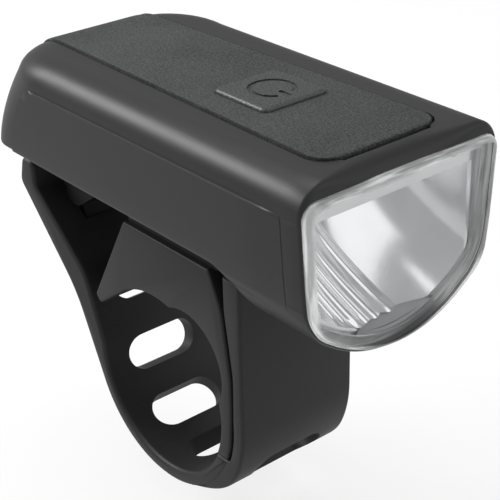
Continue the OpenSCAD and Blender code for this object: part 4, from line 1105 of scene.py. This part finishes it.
def slot_cutter(at, direction):
    """A cutter with round ends that runs along a direction seen from the side."""
    away = Vector(direction).normalized()
    along = Vector((-away.y, away.x))
    rings = []
    for d in (-SLOT_REACH, SLOT_REACH):
        middle = (at[0] + away.x * d, at[1] + away.y * d)
        ends = stadium(SLOT_L, SLOT_W)
        rings.append([(middle[0] + along.x * w, y, middle[1] + along.y * w) for y, w in ends])
    return loft("slot_cutter", rings)


slots = []
for at, tilt in BAND_SLOTS:
    way = (cos(radians(at + tilt)), sin(radians(at + tilt)))
    slots.append(slot_cutter((BAND_R * cos(radians(at)), BAND_R * sin(radians(at))), way))
slots.append(slot_cutter(LEG_SLOT, (cos(LEG_SLOT_WAY), sin(LEG_SLOT_WAY))))


def about_anchor(r, low, high):
    angles = [degrees(atan2(z - ANCHOR[1], -sqrt(r * r - (z - ANCHOR[1]) ** 2))) for z in (low, high)]
    turns = [a % 360 for a in angles]
    return arc(r, turns[0], turns[1], 2, ANCHOR)


hook_outline = about_anchor(HOOK_OUT, HOOK_LOW, HOOK_HIGH)
hook_outline += about_anchor(HOOK_IN, HOOK_LOW, HOOK_HIGH)[::-1]
slots.append(slab("hook_cutter", hook_outline, HOOK_HALF, 0.05))
pin_hole = slab("pin_cutter", arc(PIN_R, 0, 351, 9, ANCHOR), 8, 0.05)
combine(strap, slots + [pin_hole])
finish_piece(strap, "band", "strap", strap_rubber)

# %% [markdown]
# ## Pieces that keep their solid
# The boards, screws, socket and cell are simple machined or stamped things, and their solids already have
# the right shape. They get a finish each, on object coordinates.

# %% Finishes of the inner pieces
def metal(name, colour, rough, grain):
    finish = new_finish(name)
    streak = finish.noise(grain, 4.0, 0.6)
    low = tuple(c * 0.85 for c in colour)
    return finish.shade({
        "Base Color": finish.between(streak, low, colour),
        "Metallic": 1.0,
        "Roughness": rough + (streak - 0.5) * 0.2,
        "Normal": finish.bump(streak, 0.000008),
    })


steel = metal("plated_steel", (0.52, 0.52, 0.54), 0.3, 1500)
aluminium = metal("plain_aluminium", (0.68, 0.69, 0.70), 0.4, 900)
foil = metal("cell_foil", (0.55, 0.58, 0.62), 0.35, 300)
seal_rubber = moulded("seal_rubber", (0.012, 0.012, 0.012), 0.2, 0.7, 2600, 0.00002)
chip_black = moulded("chip_black", (0.016, 0.016, 0.018), 0.2, 0.5, 3000, 0.00001)
plunger_white = moulded("plunger_white", (0.6, 0.6, 0.57), 0.05, 0.45, 2600, 0.00001)
wire_red = moulded("wire_red", (0.32, 0.02, 0.015), 0.1, 0.4, 2600, 0.00001)
wire_black = moulded("wire_black", (0.012, 0.012, 0.013), 0.1, 0.4, 2600, 0.00001)
board_green = moulded("board_green", (0.012, 0.07, 0.03), 0.25, 0.35, 900, 0.00001)
mask_white = moulded("mask_white", (0.75, 0.75, 0.72), 0.05, 0.4, 1200, 0.00001)
phosphor = moulded("led_phosphor", (0.8, 0.6, 0.12), 0.1, 0.3, 2000, 0.00001)

worn = {
    "base_cover": base_plastic, "mount_base": base_plastic, "base_screws": steel, "mount_screws": steel,
    "board_screws": steel, "anchor_pin": steel, "port_shell": steel, "lens_gasket": seal_rubber,
    "battery_pad": seal_rubber, "led_emitter": phosphor, "led_board": mask_white, "heat_sink": aluminium,
    "led_leads": wire_red, "battery_leads": wire_black, "main_board": board_green, "board_chips": chip_black,
    "switch_body": chip_black, "port_tongue": chip_black, "switch_plunger": plunger_white,
    "battery_cell": foil,
}
for node, material in worn.items():
    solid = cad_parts[node]
    solid.data.materials.clear()
    solid.data.materials.append(material)
print("finished solids:", len(worn))
